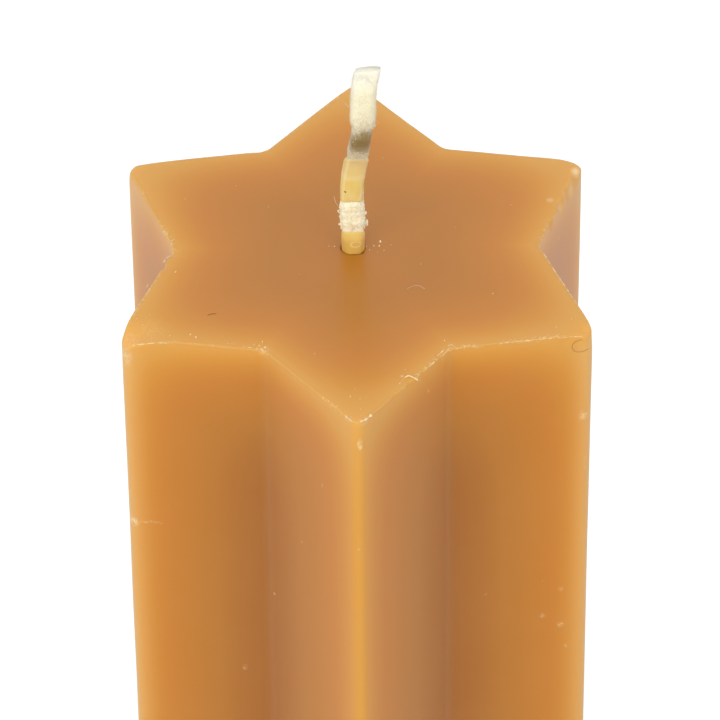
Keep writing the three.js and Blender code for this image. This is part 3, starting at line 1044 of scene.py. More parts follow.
class CANDLE_OT_add_wick(bpy.types.Operator):
    """Adds the braided cotton wick, from its foot in the tab to its frayed end"""

    bl_idname = "candle.add_wick"
    bl_label = "Wick"

    def execute(self, context):
        wick = context.scene.candle_wick
        line = WickLine(wick)
        along = np.concatenate([
            np.arange(-BURIED, -BURIED + 6 * MM, 0.3 * MM),
            np.arange(-BURIED + 6 * MM, -3 * MM, 1.5 * MM),
            np.linspace(-3 * MM, line.end, 180),
        ])
        under_felt = 1 - 0.06 * eased(along, 3 * MM, 4 * MM)
        route = curve_object("wick_route", line.place(along), line.cotton_width(along) / 2 * under_felt)
        material = cotton_material(wick)
        mesh = grown(route, "wick_shape", braid_tree(wick, material))
        piece = finished("wick_look", mesh, material, "cotton", "wick")
        joined(piece, [core_mesh(line)], material)
        return {"FINISHED"}


# Wax coats

COAT_SIDES = 72
# A coat longer than this is hidden in the wax for the rest, and its rows crowd towards its top
LONG_COAT = 14 * MM
# The coats' tint at heights in millimetres above the top face, darker towards the foot partly as painted
# shade where the coat goes into the hole
COAT_TINTS_AND_SHADE = {
    -2: (0.55, 0.42, 0.22),
    0.2: (0.84, 0.69, 0.4),
    1.9: (0.88, 0.75, 0.53),
    2.7: (1.01, 0.93, 0.67),
    3.6: (1.03, 1.0, 0.82),
    4.4: (1.05, 1.1, 1.3),
    8.1: (1.05, 1.14, 1.6),
    9.0: (1.0, 0.98, 0.95),
    12.7: (0.99, 0.97, 0.78),
    13.4: (1.03, 1.06, 1.15),
    14.1: (0.99, 0.98, 0.95),
    16.3: (0.95, 0.93, 0.98),
    17.8: (0.85, 0.86, 1.15),
}


def coat_mesh(name, line, start, end, ragged, seed, lean):
    """A thin tube of wax round the wick, with broken edges that lean: how much higher they are on the right
    and in front than in the middle, for the lower edge and for the upper one."""
    wick = line.wick
    angles = turns(COAT_SIDES)

    def edge(ragged, shift, right, front):
        drift = ring_ripple(angles, 2, seed, shift, seed) + 0.5 * ring_ripple(angles, 6, seed, shift, seed)
        return drift * ragged + right * np.cos(angles) - front * np.sin(angles)

    low, high = start + edge(ragged[0], 0.0, 0.0, lean[0]), end + edge(ragged[1], 9.0, *lean[1:])
    shares = np.linspace(0, 1, max(24, int(min(end - start, LONG_COAT) / (0.22 * MM))))
    if end - start > LONG_COAT:
        shares = 1 - (1 - shares) ** 3
    inner_width = wick.coat_width - 2 * wick.coat_wall
    slope = 2 * np.abs(angles % math.pi - math.pi / 2)
    outside, inside = [], []
    for share in shares:
        along = low + (high - low) * share
        lip = np.minimum(along - low, high - along)
        thin = 1 - 0.9 * (1 - eased(lip, 0.0, 0.6 * MM)) ** 2
        bumps = ring_ripple(angles, 3, z=along / (1.5 * MM) + seed)
        plait = np.sin(2 * angles) * np.sin(TURN * along / (wick.braid_pitch / 4) + slope)
        width = inner_width + (wick.coat_width - inner_width) * thin
        width = width + thin * (bumps * 0.08 * MM + plait * 0.02 * MM)
        power = FOOT_SQUARENESS + (SQUARENESS - FOOT_SQUARENESS) * eased(along, 0.6 * MM, 3.4 * MM)
        outside.append(line.surface(along, angles, width, power))
        inside.append(line.surface(along, angles, np.full(COAT_SIDES, inner_width)))
    mesh = looped_mesh(name, outside + inside[::-1])
    write_values(mesh, "corner", np.tile(np.abs(np.sin(2 * angles)), 2 * len(shares)))
    return mesh


def coat_material(wick):
    material, n, shader = plain_material("wax_coat")
    place = n.place()
    height = n.axes(place)[2] - TOP
    coat = np.array(wick.coat_colour)
    # Darker towards the foot: partly the coat's tint, partly painted shade of the hole.
    tints_and_shade = {(at + 2) / 20: coat * tint for at, tint in COAT_TINTS_AND_SHADE.items()}
    colour = n.ramp(n.ranged(height, -2 * MM, 18 * MM, easing="LINEAR"), tints_and_shade)
    patch = n.ranged(n.noise(place, 450.0), 0.35, 0.7)
    colour = n.mix(patch, colour, colour * (1.02, 1.05, 1.2))
    worn = n.ranged(n.attribute("corner"), 0.92, 1.0) * n.ranged(height, 6 * MM, 8 * MM, 0.0, 0.4)
    colour = n.mix(worn, colour, (0.92, 0.76, 0.46, 1))
    smear = place - (WICK_X + 0.35 * MM, -1.5 * MM, TOP + 1.7 * MM)
    smear = n.length(smear / (0.75 * MM, 0.8 * MM, 0.5 * MM))
    bow = n.ranged(n.math("ABSOLUTE", smear - 0.95), 0.3, 0.05)
    bow = bow * n.ranged(n.noise(place, 900.0), 0.4, 0.6, 0.2, 0.7)
    colour = n.mix(bow, colour, (0.92, 0.68, 0.27, 1))
    speck = place - (WICK_X - 1.05 * MM, -1.55 * MM, TOP + 11.0 * MM)
    speck = n.length(speck / (0.24 * MM, 0.5 * MM, 0.16 * MM))
    n.fill(shader, {
        "Base Color": n.mix(n.ranged(speck, 1.0, 0.5), colour, (0.06, 0.035, 0.015, 1)),
        "Normal": n.bump(n.noise(place, 1500.0, 3.0), 0.4, 0.08 * MM),
        "Roughness": 0.45,
        "IOR": 1.44,
        "Specular IOR Level": 0.35,
        "Sheen Weight": 0.1,
        "Sheen Tint": (1.0, 0.93, 0.8, 1),
        **scattering(0.5, (1.0, 0.6, 0.3), 0.8),
    })
    return material


class CANDLE_OT_add_wax_coats(bpy.types.Operator):
    """Adds the two lengths of wax coat that are still on the wick"""

    bl_idname = "candle.add_wax_coats"
    bl_label = "Wax Coats"

    def execute(self, context):
        wick = context.scene.candle_wick
        line = WickLine(wick)
        material = coat_material(wick)
        end = wick.lower_coat_end - 1.1 * MM
        ragged, lean = (0.0, 0.22 * MM), (0.0, 0.0, 1.1 * MM)
        lower = coat_mesh("lower_coat_shape", line, COAT_FOOT - TOP, end, ragged, 3.0, lean)
        finished("wick_wax_coat_lower_look", lower, material, "wax_coat", "wick_wax_coat_lower")
        end = wick.upper_coat_end - 0.5 * MM
        ragged, lean = (0.25 * MM, 0.14 * MM), (0.9 * MM, 0.1 * MM, 2.2 * MM)
        upper = coat_mesh("upper_coat_shape", line, wick.upper_coat_start, end, ragged, 7.0, lean)
        finished("wick_wax_coat_upper_look", upper, material, "wax_coat", "wick_wax_coat_upper")
        return {"FINISHED"}


# Felted cotton, crumbs, threads and hairs

# Crumbs that lie on the top face, as X, Y and size in millimetres. The first is the brightest.
TOP_CRUMBS = (
    (3.4, 1.0, 0.21), (1.4, -0.1, 0.14), (2.5, 0.1, 0.12), (3.25, 0.05, 0.14), (-3.05, 0.1, 0.12),
    (-3.8, 0.15, 0.08), (3.9, -0.85, 0.09), (4.9, 0.3, 0.07), (3.0, -1.2, 0.06), (1.9, -0.75, 0.1),
    (0.3, -32.4, 0.08), (-12.4, 9.1, 0.08), (18.9, -10.6, 0.11), (-1.0, -32.0, 0.15), (-25.2, -5.2, 0.13),
    (-22.9, -18.7, 0.15), (-25.7, -18.9, 0.10), (-22.1, -19.3, 0.12), (-13.0, -20.4, 0.13),
    (-13.4, -21.2, 0.14), (-14.1, -20.9, 0.09), (-12.6, -21.6, 0.15), (-5.8, -23.0, 0.06), (14.0, 4.0, 0.05),
    (9.0, -4.0, 0.06), (-8.0, -6.0, 0.05), (22.0, 9.0, 0.06), (-17.0, 14.0, 0.06), (4.0, 20.0, 0.06),
    (6.5, -26.5, 0.08), (12.0, -20.5, 0.09), (-29.5, -16.5, 0.09), (-30.3, -15.2, 0.08),
    (-28.6, -14.3, 0.07), (29.6, -16.2, 0.08), (27.4, -17.9, 0.07), (0.4, -34.6, 0.06), (-0.4, -30.4, 0.05),
)
# Lint on the wick, as the lengths and the angles between which it lies, how much higher it lies in front,
# count, largest size, and what it lies on
LINT = (
    (3.3, 7.6, 0.0, 6.3, 1.0, 760, 0.13, "puff"),
    (3.5, 7.5, 0.0, 6.3, 1.0, 70, 0.2, "puff"),
    (16.3, 18.6, 0.0, 6.3, 2.0, 420, 0.085, "cotton"),
    (22.4, 25.8, 3.4, 4.4, 0.0, 70, 0.065, "cotton"),
    (25.8, 29.6, 0.0, 6.3, 0.0, 190, 0.07, "cotton"),
    (29.6, 35.2, 0.0, 6.3, 0.0, 130, 0.045, "cotton"),
    (8.2, 10.8, -0.9, 0.1, 0.0, 60, 0.09, "coat"),
)
# Knobs of felted cotton beside the wick, as length, angle in degrees, distance across and size
KNOBS = (
    (4.5, -6, 3.72, 0.42), (4.1, -2, 3.7, 0.32), (4.6, -8, 3.8, 0.22), (6.4, -12, 3.6, 0.27),
    (6.2, -4, 3.6, 0.2), (6.4, 178, 3.7, 0.28), (6.6, 184, 3.75, 0.18), (4.3, 186, 3.6, 0.24),
    (5.6, 182, 3.5, 0.18), (5.2, 0, 3.5, 0.2),
)
# Strands, as thickness, then points as X, Y and height above the top face, all in millimetres: loose fibres
STRAYS = (
    (0.018, (-2.4, 0.1, 7.2), (-2.8, -0.1, 8.1), (-3.0, -0.1, 9.2)),
    (0.018, (2.1, -3.0, 24.6), (2.7, -3.2, 25.0), (3.3, -3.5, 24.7)),
    (0.018, (-0.75, -3.7, 27.6), (-1.1, -3.8, 27.9), (-1.3, -3.9, 28.5)),
    (0.012, (7.0, -9.4, 0.02), (7.8, -8.7, 0.02), (8.8, -8.7, 0.04), (9.5, -9.4, 0.02)),
)
# Threads of pale wax along the rim: partly flash that the mould's edge raised, partly pale strokes laid where
# the rim shows highlights, a painted highlight
RIM_THREADS_AND_GLINTS = (
    (0.07, (5.7, -29.5, 0), (6.2, -28.5, 0.05), (6.9, -27.8, 0.1), (7.5, -28.1, 0.05), (8.2, -28.7, 0)),
    (0.08, (9.8, -25.9, 0), (10.5, -24.9, 0)),
    (0.05, (10.9, -23.7, 0), (11.5, -22.9, 0), (11.9, -22.3, 0)),
    (0.05, (12.4, -21.6, 0), (13.0, -21.3, 0), (13.4, -21.9, -0.05)),
    (0.03, (13.6, -22.2, 0), (15.4, -22.0, 0), (17.5, -21.8, 0)),
    (0.025, (19.6, -21.2, 0), (23.7, -20.6, 0), (26.9, -20.2, 0)),
    (0.045, (26.9, -20.2, 0), (27.4, -19.7, 0.05), (27.8, -20.2, 0)),
    (0.03, (27.8, -20.2, -0.03), (29.5, -19.8, -0.1), (31.0, -19.5, -0.3)),
    (0.09, (0.3, -37.1, 0), (0.9, -36.8, 0), (1.8, -35.8, 0)),
    (0.04, (-1.6, -36.0, 0), (-1.1, -36.6, 0), (-0.5, -37.1, 0)),
    (0.036, (-30.8, -19.4, -1.2), (-29.0, -19.6, -0.76), (-27.4, -19.85, -0.42), (-25.8, -20.2, -0.16)),
    (0.035, (-17.8, -20.6, 0), (-16.7, -20.8, 0)),
    (0.03, (-15.6, -21.3, 0), (-14.4, -21.6, 0), (-12.9, -22.0, 0)),
    (0.04, (26.2, -1.8, 0), (28.3, -7.4, 0), (30.5, -13.0, -0.1)),
    (0.08, (-26.9, -2.9, 0), (-26.6, -2.2, 0), (-26.1, -1.6, 0)),
    (0.06, (-26.0, 1.5, 0), (-25.6, 2.1, 0.05), (-25.2, 1.6, 0)),
    (0.04, (-29.2, -8.5, 0), (-28.9, -7.7, 0)),
)
# Brown hairs on the wax, the first curled on the front right face
HAIRS = (
    (0.02, (30.9, -19.36, -1.0), (29.9, -19.52, -1.2), (29.4, -19.6, -2.0), (29.7, -19.56, -2.95),
     (30.5, -19.43, -3.35), (31.4, -19.3, -3.1), (32.0, -19.2, -2.75)),
    (0.045, (-20.6, -14.6, 0.02), (-20.0, -14.3, 0.03), (-19.4, -14.3, 0.02)),
    (0.035, (29.7, -16.9, -0.3), (30.0, -16.8, -0.3), (30.3, -17.1, -0.35)),
)


def felt_mesh(name, line, start, end, edge_width, lift, seed, swell, lumps=1.0, front=0.0, full=0.0):
    """Matted cotton over the braid, lumpy, with ragged edges that dip under the wax beside it."""
    sides = 150
    angles = turns(sides)
    along = np.arange(start - front, min(end + front, line.end - 0.05 * MM), 0.09 * MM)
    ragged = ring_ripple(angles, 3.2, z=seed) * 0.35 * MM + ring_ripple(angles, 9, z=seed) * 0.5 * MM
    ragged += front * np.sin(angles)
    rings = []
    for length in along:
        spread = np.full(sides, length)
        inside = eased(spread + ragged, start + 0.5 * MM, start + 0.5 * MM + swell)
        if end < line.end - 1 * MM:
            inside = inside * (1 - eased(spread + ragged, end - 1.1 * MM, end - 0.5 * MM))
        width = edge_width + (np.maximum(line.cotton_width(spread), full) * lift - edge_width) * inside
        place = line.surface(spread, angles, width)
        bumps = lumps * (0.08 * ripple(place, 1100, seed) + 0.08 * ripple(place, 2900))
        bumps += 0.05 * ripple(place, 6000)
        rings.append(line.surface(spread, angles, width + bumps * 2 * MM * inside))
    return tagged(looped_mesh(name, rings, closed=False), along, sides)


def crumb_tree(roughness, material):
    """Sets a small uneven lump on every point, as large as its size attribute says."""
    n, given = shape_tree("Crumbs", {"Roughness": roughness, "Seed": 3, "Material": material})
    size = n.named("size")
    lump = n.get("GeometryNodeMeshIcoSphere", {"Radius": 1.0, "Subdivisions": 2})
    turn = n.random_vector((0.0, 0.0, 0.0), (6.3, 6.3, 6.3), given["Seed"])
    turn = n.get("FunctionNodeEulerToRotation", {0: turn})
    stretch = n.random_vector((0.6, 0.6, 0.5), (1.3, 1.1, 0.9), given["Seed"]) * size
    amount = size * (given["Roughness"] * 2.0)
    lumps = n.scattered(given["Geometry"], lump, turn, stretch, 4200.0, 2.0, amount)
    return n.end(n.get("GeometryNodeSetShadeSmooth", {"Geometry": lumps}), given["Material"])


def add_crumbs(name, places, sizes, material, slot, roughness=0.5):
    """Adds lumps of given sizes at given places as one piece."""
    points = bpy.data.meshes.new(name)
    points.from_pydata(np.asarray(places).tolist(), [], [])
    write_values(points, "size", sizes)
    mesh = grown(bpy.data.objects.new(name, points), name, crumb_tree(roughness, material))
    finished(name, mesh, material, slot)


def cream_material():
    """Rubbed wax and lint, paler than the wax that it came from."""
    material, n, shader = plain_material("rubbed_wax")
    place = n.place()
    share = n.ranged(n.noise(place, 1800.0), 0.3, 0.7)
    n.fill(shader, {
        "Base Color": n.mix(share, (0.95, 0.80, 0.52, 1), (0.97, 0.90, 0.70, 1)),
        "Normal": n.bump(n.noise(place, 6000.0), 0.4, 0.03 * MM),
        "Roughness": 0.5,
        **scattering(0.4, (1.0, 0.7, 0.45), 0.4),
    })
    return material


def coloured_material(name, colour, inputs=()):
    """The material of that name, made plain in one colour at its first use."""
    if name in bpy.data.materials:
        return bpy.data.materials[name]
    material, n, shader = plain_material(name)
    n.fill(shader, {"Base Color": colour, "Roughness": 0.4, **dict(inputs)})
    return material


def pale_wax_material():
    """Wax rubbed off the rim, in crumbs and threads; some threads stand in for highlights along the rim, a
    painted highlight.
    """
    return coloured_material("pale_wax", (0.93, 0.71, 0.39, 1), scattering(0.3, (1.0, 0.6, 0.3), 0.3))


def strand_mesh(name, points, radius, unevenness):
    """One loose fibre or thread of wax through points, as a thin closed tube."""
    points = (np.array(points, dtype=float) + (0, 0, TOP / MM)) * MM
    count = 14
    if unevenness:
        count += int(np.linalg.norm(points[-1] - points[0]) / (0.25 * MM))
    steps = np.linspace(0, len(points) - 1, count)
    line = np.stack([np.interp(steps, np.arange(len(points)), points[:, i]) for i in range(3)], axis=1)
    for _ in range(2):
        line[1:-1] = (line[:-2] + 2 * line[1:-1] + line[2:]) / 4
    angles = turns(5)
    rings = []
    for i, point in enumerate(line):
        ahead = line[min(i + 1, len(line) - 1)] - line[max(i - 1, 0)]
        ahead /= np.linalg.norm(ahead)
        across = np.cross(ahead, (0.3, 0.5, 0.81))
        across /= np.linalg.norm(across)
        other = np.cross(ahead, across)
        lump = max(1 + 2.4 * unevenness * noise.noise(point * 2300), 0.15)
        wander = unevenness * 0.08 * MM * noise.noise(point * 1500 + 5)
        around = np.cos(angles)[:, None] * across + np.sin(angles)[:, None] * other
        rings.append(point + wander * across + radius * lump * MM * around)
    return looped_mesh(name, rings, closed=False)


def add_strands(name, strands, material, slot, unevenness=0.0):
    """Adds strands as one piece."""
    meshes = [strand_mesh(name, points, radius, unevenness) for radius, *points in strands]
    joined(finished(name, meshes[0], material, slot), meshes[1:], material)


class CANDLE_OT_add_felt(bpy.types.Operator):
    """Adds the felted cotton: the puff between the coats, the ring over the upper one and the bare end"""

    bl_idname = "candle.add_felt"
    bl_label = "Felt"

    def execute(self, context):
        wick = context.scene.candle_wick
        line = WickLine(wick)
        material = cotton_material(wick, "felted_cotton")
        felts = {
            "low": {
                "start": wick.lower_coat_end - 0.95 * MM,
                "end": wick.upper_coat_start + 0.8 * MM,
                "edge_width": wick.coat_width - 0.25 * MM,
                "lift": 0.97,
                "seed": 2.0,
                "swell": 0.5 * MM,
                "lumps": 1.5,
                "front": 1 * MM,
                "full": wick.puff_width * 0.98,
            },
            "ring": {
                "start": wick.upper_coat_end - 1.2 * MM,
                "end": wick.upper_coat_end + 3 * MM,
                "edge_width": wick.bend_width * 0.96,
                "lift": 1.02,
                "seed": 5.0,
                "swell": 0.4 * MM,
                "lumps": 0.6,
                "front": 2.2 * MM,
            },
            "tuft": {
                "start": 24.3 * MM,
                "end": line.end - 0.05 * MM,
                "edge_width": wick.bend_width * 0.98,
                "lift": 0.955,
                "seed": 8.0,
                "swell": 2.2 * MM,
                "lumps": 0.16,
            },
        }
        for name, sizes in felts.items():
            finished(f"wick_felt_{name}", felt_mesh(f"felt_{name}", line, **sizes), material, "cotton")
        return {"FINISHED"}


class CANDLE_OT_add_crumbs(bpy.types.Operator):
    """Adds the lint on the wick and the crumbs on the top face"""

    bl_idname = "candle.add_crumbs"
    bl_label = "Lint and Crumbs"

    def execute(self, context):
        wick = context.scene.candle_wick
        line = WickLine(wick)
        cream = cream_material()
        chance = np.random.default_rng(5)
        places, sizes = [], []
        for start, end, low_angle, high_angle, front, count, large, base in LINT:
            angles = chance.uniform(low_angle, high_angle, count)
            along = chance.uniform(start, end, count) * MM - front * MM * np.sin(angles)
            widths = {
                "puff": wick.puff_width * 0.97,
                "coat": wick.coat_width,
                "cotton": line.cotton_width(along),
            }
            places += list(line.surface(along, angles, widths[base] * np.ones(count)))
            sizes += list(chance.uniform(0.4, 1.0, count) ** 1.5 * large * MM)
        for length, angle, reach, size in KNOBS:
            turn = np.array([math.radians(angle)])
            places += list(line.surface(np.array([length * MM]), turn, np.array([reach * MM])))
            sizes.append(size * MM)
        add_crumbs("wick_crumbs", places, sizes, cream, "cotton")
        spots = [(x * MM, y * MM, TOP + 0.35 * size * MM) for x, y, size in TOP_CRUMBS]
        sizes = [size * MM for _, _, size in TOP_CRUMBS]
        add_crumbs("bright_crumbs", spots[:1], sizes[:1], cream, "wax", 0.9)
        add_crumbs("top_crumbs", spots[1:], sizes[1:], pale_wax_material(), "wax", 0.9)
        return {"FINISHED"}


class CANDLE_OT_add_strands(bpy.types.Operator):
    """Adds the stray fibres, the threads of wax along the rim, some of them painted highlights, and the hairs
    """

    bl_idname = "candle.add_strands"
    bl_label = "Strays, Threads and Hairs"

    def execute(self, context):
        cotton = cotton_material(context.scene.candle_wick, "stray_cotton")
        add_strands("stray_fibres", STRAYS, cotton, "cotton")
        # Some of the rim threads are painted highlights along the rim.
        add_strands("rim_threads_and_glints", RIM_THREADS_AND_GLINTS, pale_wax_material(), "wax", 1.0)
        add_strands("hairs", HAIRS, coloured_material("brown_hair", (0.22, 0.10, 0.03, 1)), "wax")
        return {"FINISHED"}


# Fuzz

SLEEVE_SIDES = 20


def fuzz_tree(wick, material):
    """Scatters loose curled fibres over a sleeve round the wick, as thick as its hair attribute says."""
    n, given = shape_tree("Cotton Fuzz", {
        "Density": wick.fibres * 1.0e4,
        "Length": 0.42 * MM,
        "Thickness": 0.012 * MM,
        "Curl": 0.12 * MM,
        "Seed": 11,
        "Material": material,
    })
    points, normal = n.outputs(
        ("Points", "Rotation"),
        "GeometryNodeDistributePointsOnFaces",
        {"Mesh": given["Geometry"], "Density": n.named("hair") * given["Density"], "Seed": given["Seed"]},
        distribute_method="RANDOM",
    )
    fibre = n.get(
        "GeometryNodeCurveQuadraticBezier",
        {"Resolution": 4, "Start": (0.0, 0.0, -0.08), "Middle": (0.6, 0.0, 0.16), "End": (0.95, 0.3, 0.05)},
    )
    ring = n.get("GeometryNodeCurvePrimitiveCircle", {"Resolution": 3, "Radius": 1.0})
    taper = 1.0 - n.get("GeometryNodeSplineParameter", output="Factor") * 0.6
    taper = taper * (given["Thickness"] / given["Length"])
    thread = n.get(
        "GeometryNodeCurveToMesh", {"Curve": fibre, "Profile Curve": ring, "Scale": taper, "Fill Caps": True}
    )
    spin = n.random_vector((-0.5, -0.5, -3.2), (0.5, 0.5, 3.2), given["Seed"])
    turn = n.get(
        "FunctionNodeRotateRotation",
        {"Rotation": normal, "Rotate By": n.get("FunctionNodeEulerToRotation", {0: spin})},
        rotation_space="LOCAL",
    )
    size = given["Length"] * n.random(0.35, 1.25, n.get("GeometryNodeInputIndex"), given["Seed"])
    size = n.combined(size, size, size)
    fuzz = n.scattered(points, thread, turn, size, 1100.0, 1.0, given["Curl"] * 2.0)
    return n.end(fuzz, given["Material"])


def fuzz_amount(along):
    """How thick the fibres stand: on the puff, over the upper coat's end and on the bare end."""
    puff = 1.4 * eased(along, 3.9 * MM, 4.6 * MM) * (1 - eased(along, 7.8 * MM, 8.5 * MM))
    ring = 0.5 * eased(along, 17.4 * MM, 18.0 * MM) * (1 - eased(along, 19.6 * MM, 20.6 * MM))
    return puff + ring + 2.2 * eased(along, 25.4 * MM, 27.4 * MM)


class CANDLE_OT_add_wick_fuzz(bpy.types.Operator):
    """Adds the loose fibres on the bare cotton"""

    bl_idname = "candle.add_wick_fuzz"
    bl_label = "Wick Fuzz"

    def execute(self, context):
        wick = context.scene.candle_wick
        line = WickLine(wick)
        along = np.arange(3.8 * MM, line.end - 0.2 * MM, 0.3 * MM)
        sleeve = line.skin("fuzz_sleeve", along, SLEEVE_SIDES, 0.97)
        write_values(sleeve, "hair", np.repeat(fuzz_amount(along), SLEEVE_SIDES))
        write_values(sleeve, "along", np.repeat(along, SLEEVE_SIDES) + BURIED)
        material = cotton_material(wick, "loose_cotton")
        source = bpy.data.objects.new("fuzz_sleeve", sleeve)
        mesh = grown(source, "wick_fuzz_shape", fuzz_tree(wick, material))
        finished("wick_fuzz", mesh, material, "cotton")
        return {"FINISHED"}


# Tab

TAB_SIDES = 96
TAB_SHEET = 0.3
NECK_INNER = 1.525
NECK_FILLET = 1.0
# Height of the crimp that grips the wick, and how far it is pressed in
CRIMP_HEIGHT = 3.5
CRIMP_DEPTH = 0.1


def tab_mesh():
    """The pressed steel disc with a rolled edge, a pressed ring and a crimped neck."""
    reach = (TAB_HIGH.x - WICK_X) / MM
    height = (TAB_HIGH.z - TAB_LOW.z) / MM
    inner, outer = NECK_INNER, NECK_INNER + TAB_SHEET
    pressed = ((5.4, 0), (5.8, 0.06), (6.3, 0.06), (6.7, 0), (reach - 0.35, 0))
    profile = [(inner, 0), (3, 0), *pressed, (reach - 0.1, 0.04), (reach, TAB_SHEET / 2)]
    profile.append((reach - 0.1, TAB_SHEET - 0.04))
    profile += [(radius, TAB_SHEET + rise) for radius, rise in reversed(pressed)]
    for i in range(7):
        angle = math.radians(90 * i / 6)
        across, up = NECK_FILLET * (1 - math.sin(angle)), NECK_FILLET * (1 - math.cos(angle))
        profile.append((outer + across, TAB_SHEET + up))
    profile += [(outer, 2.5), (outer, 3.5), (outer, 4.5), (outer, height - 0.1), (outer - 0.08, height)]
    profile += [(inner + 0.06, height), (inner, height - 0.06)]
    profile += [(inner, up) for up in (4.5, 3.5, 2.5, 0.5)]
    angles = turns(TAB_SIDES)
    rings = []
    for radius, up in profile:
        crimp = CRIMP_DEPTH * math.exp(-(((up - CRIMP_HEIGHT) / 0.9) ** 2)) if radius < 2.2 else 0
        squeezed = radius - crimp * np.maximum(np.cos(4 * angles), 0) ** 2
        rings.append(level_ring(angles, squeezed * MM, TAB_LOW.z + up * MM))
    return looped_mesh("wick_tab_shape", rings[::-1])


def steel_material():
    material, n, shader = plain_material("tinned_steel")
    place = n.place()
    spots = n.ranged(n.noise(place, 900.0, 3.0), 0.3, 0.75)
    n.fill(shader, {
        "Base Color": n.mix(spots, (0.62, 0.63, 0.64, 1), (0.74, 0.74, 0.73, 1)),
        "Roughness": n.ranged(n.noise(place, 2400.0), 0.2, 0.8, 0.29, 0.42),
        "Normal": n.bump(n.noise(place, 1300.0), 0.15, 0.05 * MM),
        "Metallic": 1.0,
    })
    return material


class CANDLE_OT_add_wick_tab(bpy.types.Operator):
    """Adds the steel tab that carries the wick in the base"""

    bl_idname = "candle.add_wick_tab"
    bl_label = "Wick Tab"

    def execute(self, context):
        finished("wick_tab_look", tab_mesh(), steel_material(), "tinned_steel", "wick_tab")
        return {"FINISHED"}


# Stage

FLOOR_REACH = 4.0
LAMP_SIZE = 0.9


def studio_world(level):
    """White to the camera and in reflections, and a plain even light otherwise."""
    world = bpy.data.worlds.new("studio")
    world.use_nodes = True
    n = Nodes(world.node_tree)
    light = world.node_tree.nodes["Background"]
    n.fill(light, {"Strength": level, "Color": (1, 1, 1, 1)})
    white = n.get("ShaderNodeBackground", {"Color": (1, 1, 1, 1), "Strength": 1.0})
    rays = ("Is Camera Ray", "Is Glossy Ray", "Is Transmission Ray")
    seen = n.largest(*n.outputs(rays, "ShaderNodeLightPath"))
    mixed = n.get("ShaderNodeMixShader", {0: seen, 1: Wire(n, light.outputs[0]), 2: white})
    n.fill(world.node_tree.nodes["World Output"], {"Surface": mixed})
    bpy.context.scene.world = world


def placed(name, data, place, aim, roll=0.0):
    """An object that stands at a place and looks at a point."""
    holder = bpy.data.objects.new(name, data)
    turn = (Vector(aim) - Vector(place)).to_track_quat("-Z", "Y").to_matrix().to_4x4()
    holder.matrix_world = Matrix.Translation(place) @ turn @ Matrix.Rotation(roll, 4, "Z")
    bpy.context.scene.collection.objects.link(holder)
    return holder


def area_lamp(name, place, power):
    lamp = bpy.data.lights.new(name, "AREA")
    lamp.shape = "DISK"
    lamp.size = LAMP_SIZE
    lamp.energy = power
    placed(name, lamp, place, (0, 0, TOP / 2)).visible_glossy = False


def floor_material():
    """Pale and lit, and white to the camera wherever the candle's shadow doesn't fall. To glossy rays it
    glows, faint in front of the candle and stronger behind it: a painted reflection level.
    """
    material, n, shader = plain_material("white_floor")
    n.fill(shader, {"Base Color": (0.5, 0.5, 0.5, 1), "Roughness": 0.9, "Specular IOR Level": 0.0})
    camera, glossy = n.outputs(("Is Camera Ray", "Is Glossy Ray"), "ShaderNodeLightPath")
    # Painted reflection: the floor glows in reflections, faint in front of the candle and stronger behind it
    reflected_glow = n.ranged(n.axes(n.place())[1], -0.15, 0.03, 0.02, 0.35)
    level = n.largest(camera * 0.65, glossy * reflected_glow)
    lift = n.get("ShaderNodeEmission", {"Color": (1, 1, 1, 1), "Strength": level})
    whole = n.get("ShaderNodeAddShader", {0: Wire(n, shader.outputs[0]), 1: lift})
    n.fill(material.node_tree.nodes["Material Output"], {"Surface": whole})
    return material


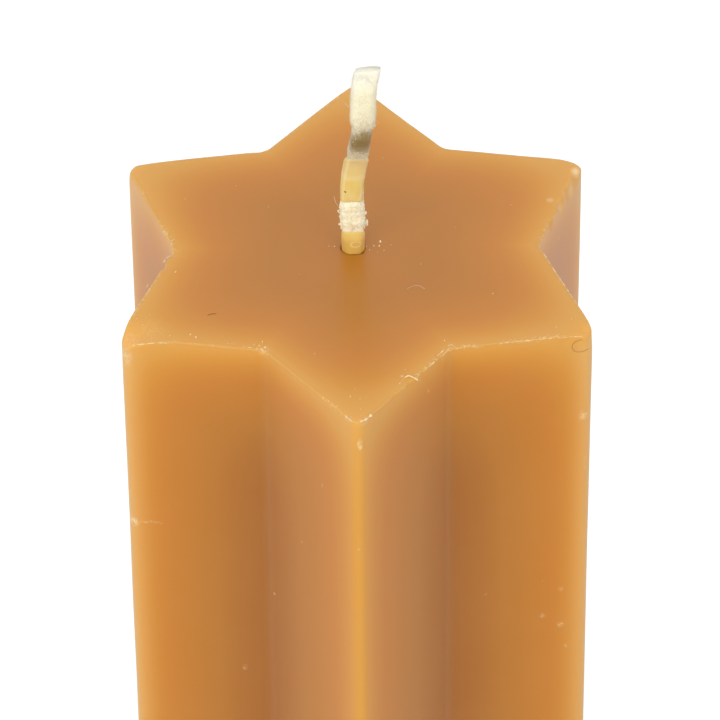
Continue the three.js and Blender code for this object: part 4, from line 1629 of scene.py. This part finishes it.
class CANDLE_OT_add_stage(bpy.types.Operator):
    """Adds the floor, lights and camera"""

    bl_idname = "candle.add_stage"
    bl_label = "Stage"

    def execute(self, context):
        stage = context.scene.candle_stage
        context.scene.view_settings.view_transform = "Standard"
        studio_world(stage.world_level)
        area_lamp("left_softbox", (-0.8, -1.1, 0.55), stage.left_level)
        area_lamp("right_softbox", (0.85, -1.0, 0.5), stage.right_level)

        mesh = bpy.data.meshes.new("floor_shape")
        corners = [(x * FLOOR_REACH, y * FLOOR_REACH, 0) for x, y in ((-1, -1), (1, -1), (1, 1), (-1, 1))]
        mesh.from_pydata(corners, [], [(0, 1, 2, 3)])
        mesh.materials.append(floor_material())
        floor = bpy.data.objects.new("floor", mesh)
        context.scene.collection.objects.link(floor)

        data = bpy.data.cameras.new("camera")
        data.lens = stage.lens
        data.sensor_width = 36
        context.scene.camera = placed("camera", data, stage.camera_place, stage.camera_aim, stage.roll)
        return {"FINISHED"}


class CANDLE_PT_pieces(bpy.types.Panel):
    """Lists the candle's sizes and pieces"""

    bl_label = "Star Pillar Candle"
    bl_space_type = "VIEW_3D"
    bl_region_type = "UI"
    bl_category = "Candle"

    def draw(self, context):
        layout = self.layout
        for group in (context.scene.candle_wax, context.scene.candle_wick, context.scene.candle_stage):
            box = layout.box()
            for name in group.__annotations__:
                box.prop(group, name)
        for step in STEPS:
            layout.operator(step.bl_idname)


STEPS = (
    CANDLE_OT_add_stage,
    CANDLE_OT_add_wax_body,
    CANDLE_OT_add_wick,
    CANDLE_OT_add_wax_coats,
    CANDLE_OT_add_felt,
    CANDLE_OT_add_crumbs,
    CANDLE_OT_add_strands,
    CANDLE_OT_add_wick_fuzz,
    CANDLE_OT_add_wick_tab,
)
GROUPS = {"candle_wax": CandleWax, "candle_wick": CandleWick, "candle_stage": CandleStage}


def register():
    for kind in (*GROUPS.values(), *STEPS, CANDLE_PT_pieces):
        bpy.utils.register_class(kind)
    for name, group in GROUPS.items():
        setattr(bpy.types.Scene, name, PointerProperty(type=group))


def unregister():
    for name in GROUPS:
        delattr(bpy.types.Scene, name)
    for kind in (CANDLE_PT_pieces, *reversed(STEPS), *reversed(GROUPS.values())):
        bpy.utils.unregister_class(kind)


def main():
    register()
    bpy.ops.candle.add_stage()
    bpy.ops.candle.add_wax_body()
    bpy.ops.candle.add_wick()
    bpy.ops.candle.add_wax_coats()
    bpy.ops.candle.add_felt()
    bpy.ops.candle.add_crumbs()
    bpy.ops.candle.add_strands()
    bpy.ops.candle.add_wick_fuzz()
    bpy.ops.candle.add_wick_tab()


if __name__ == "__main__":
    main()
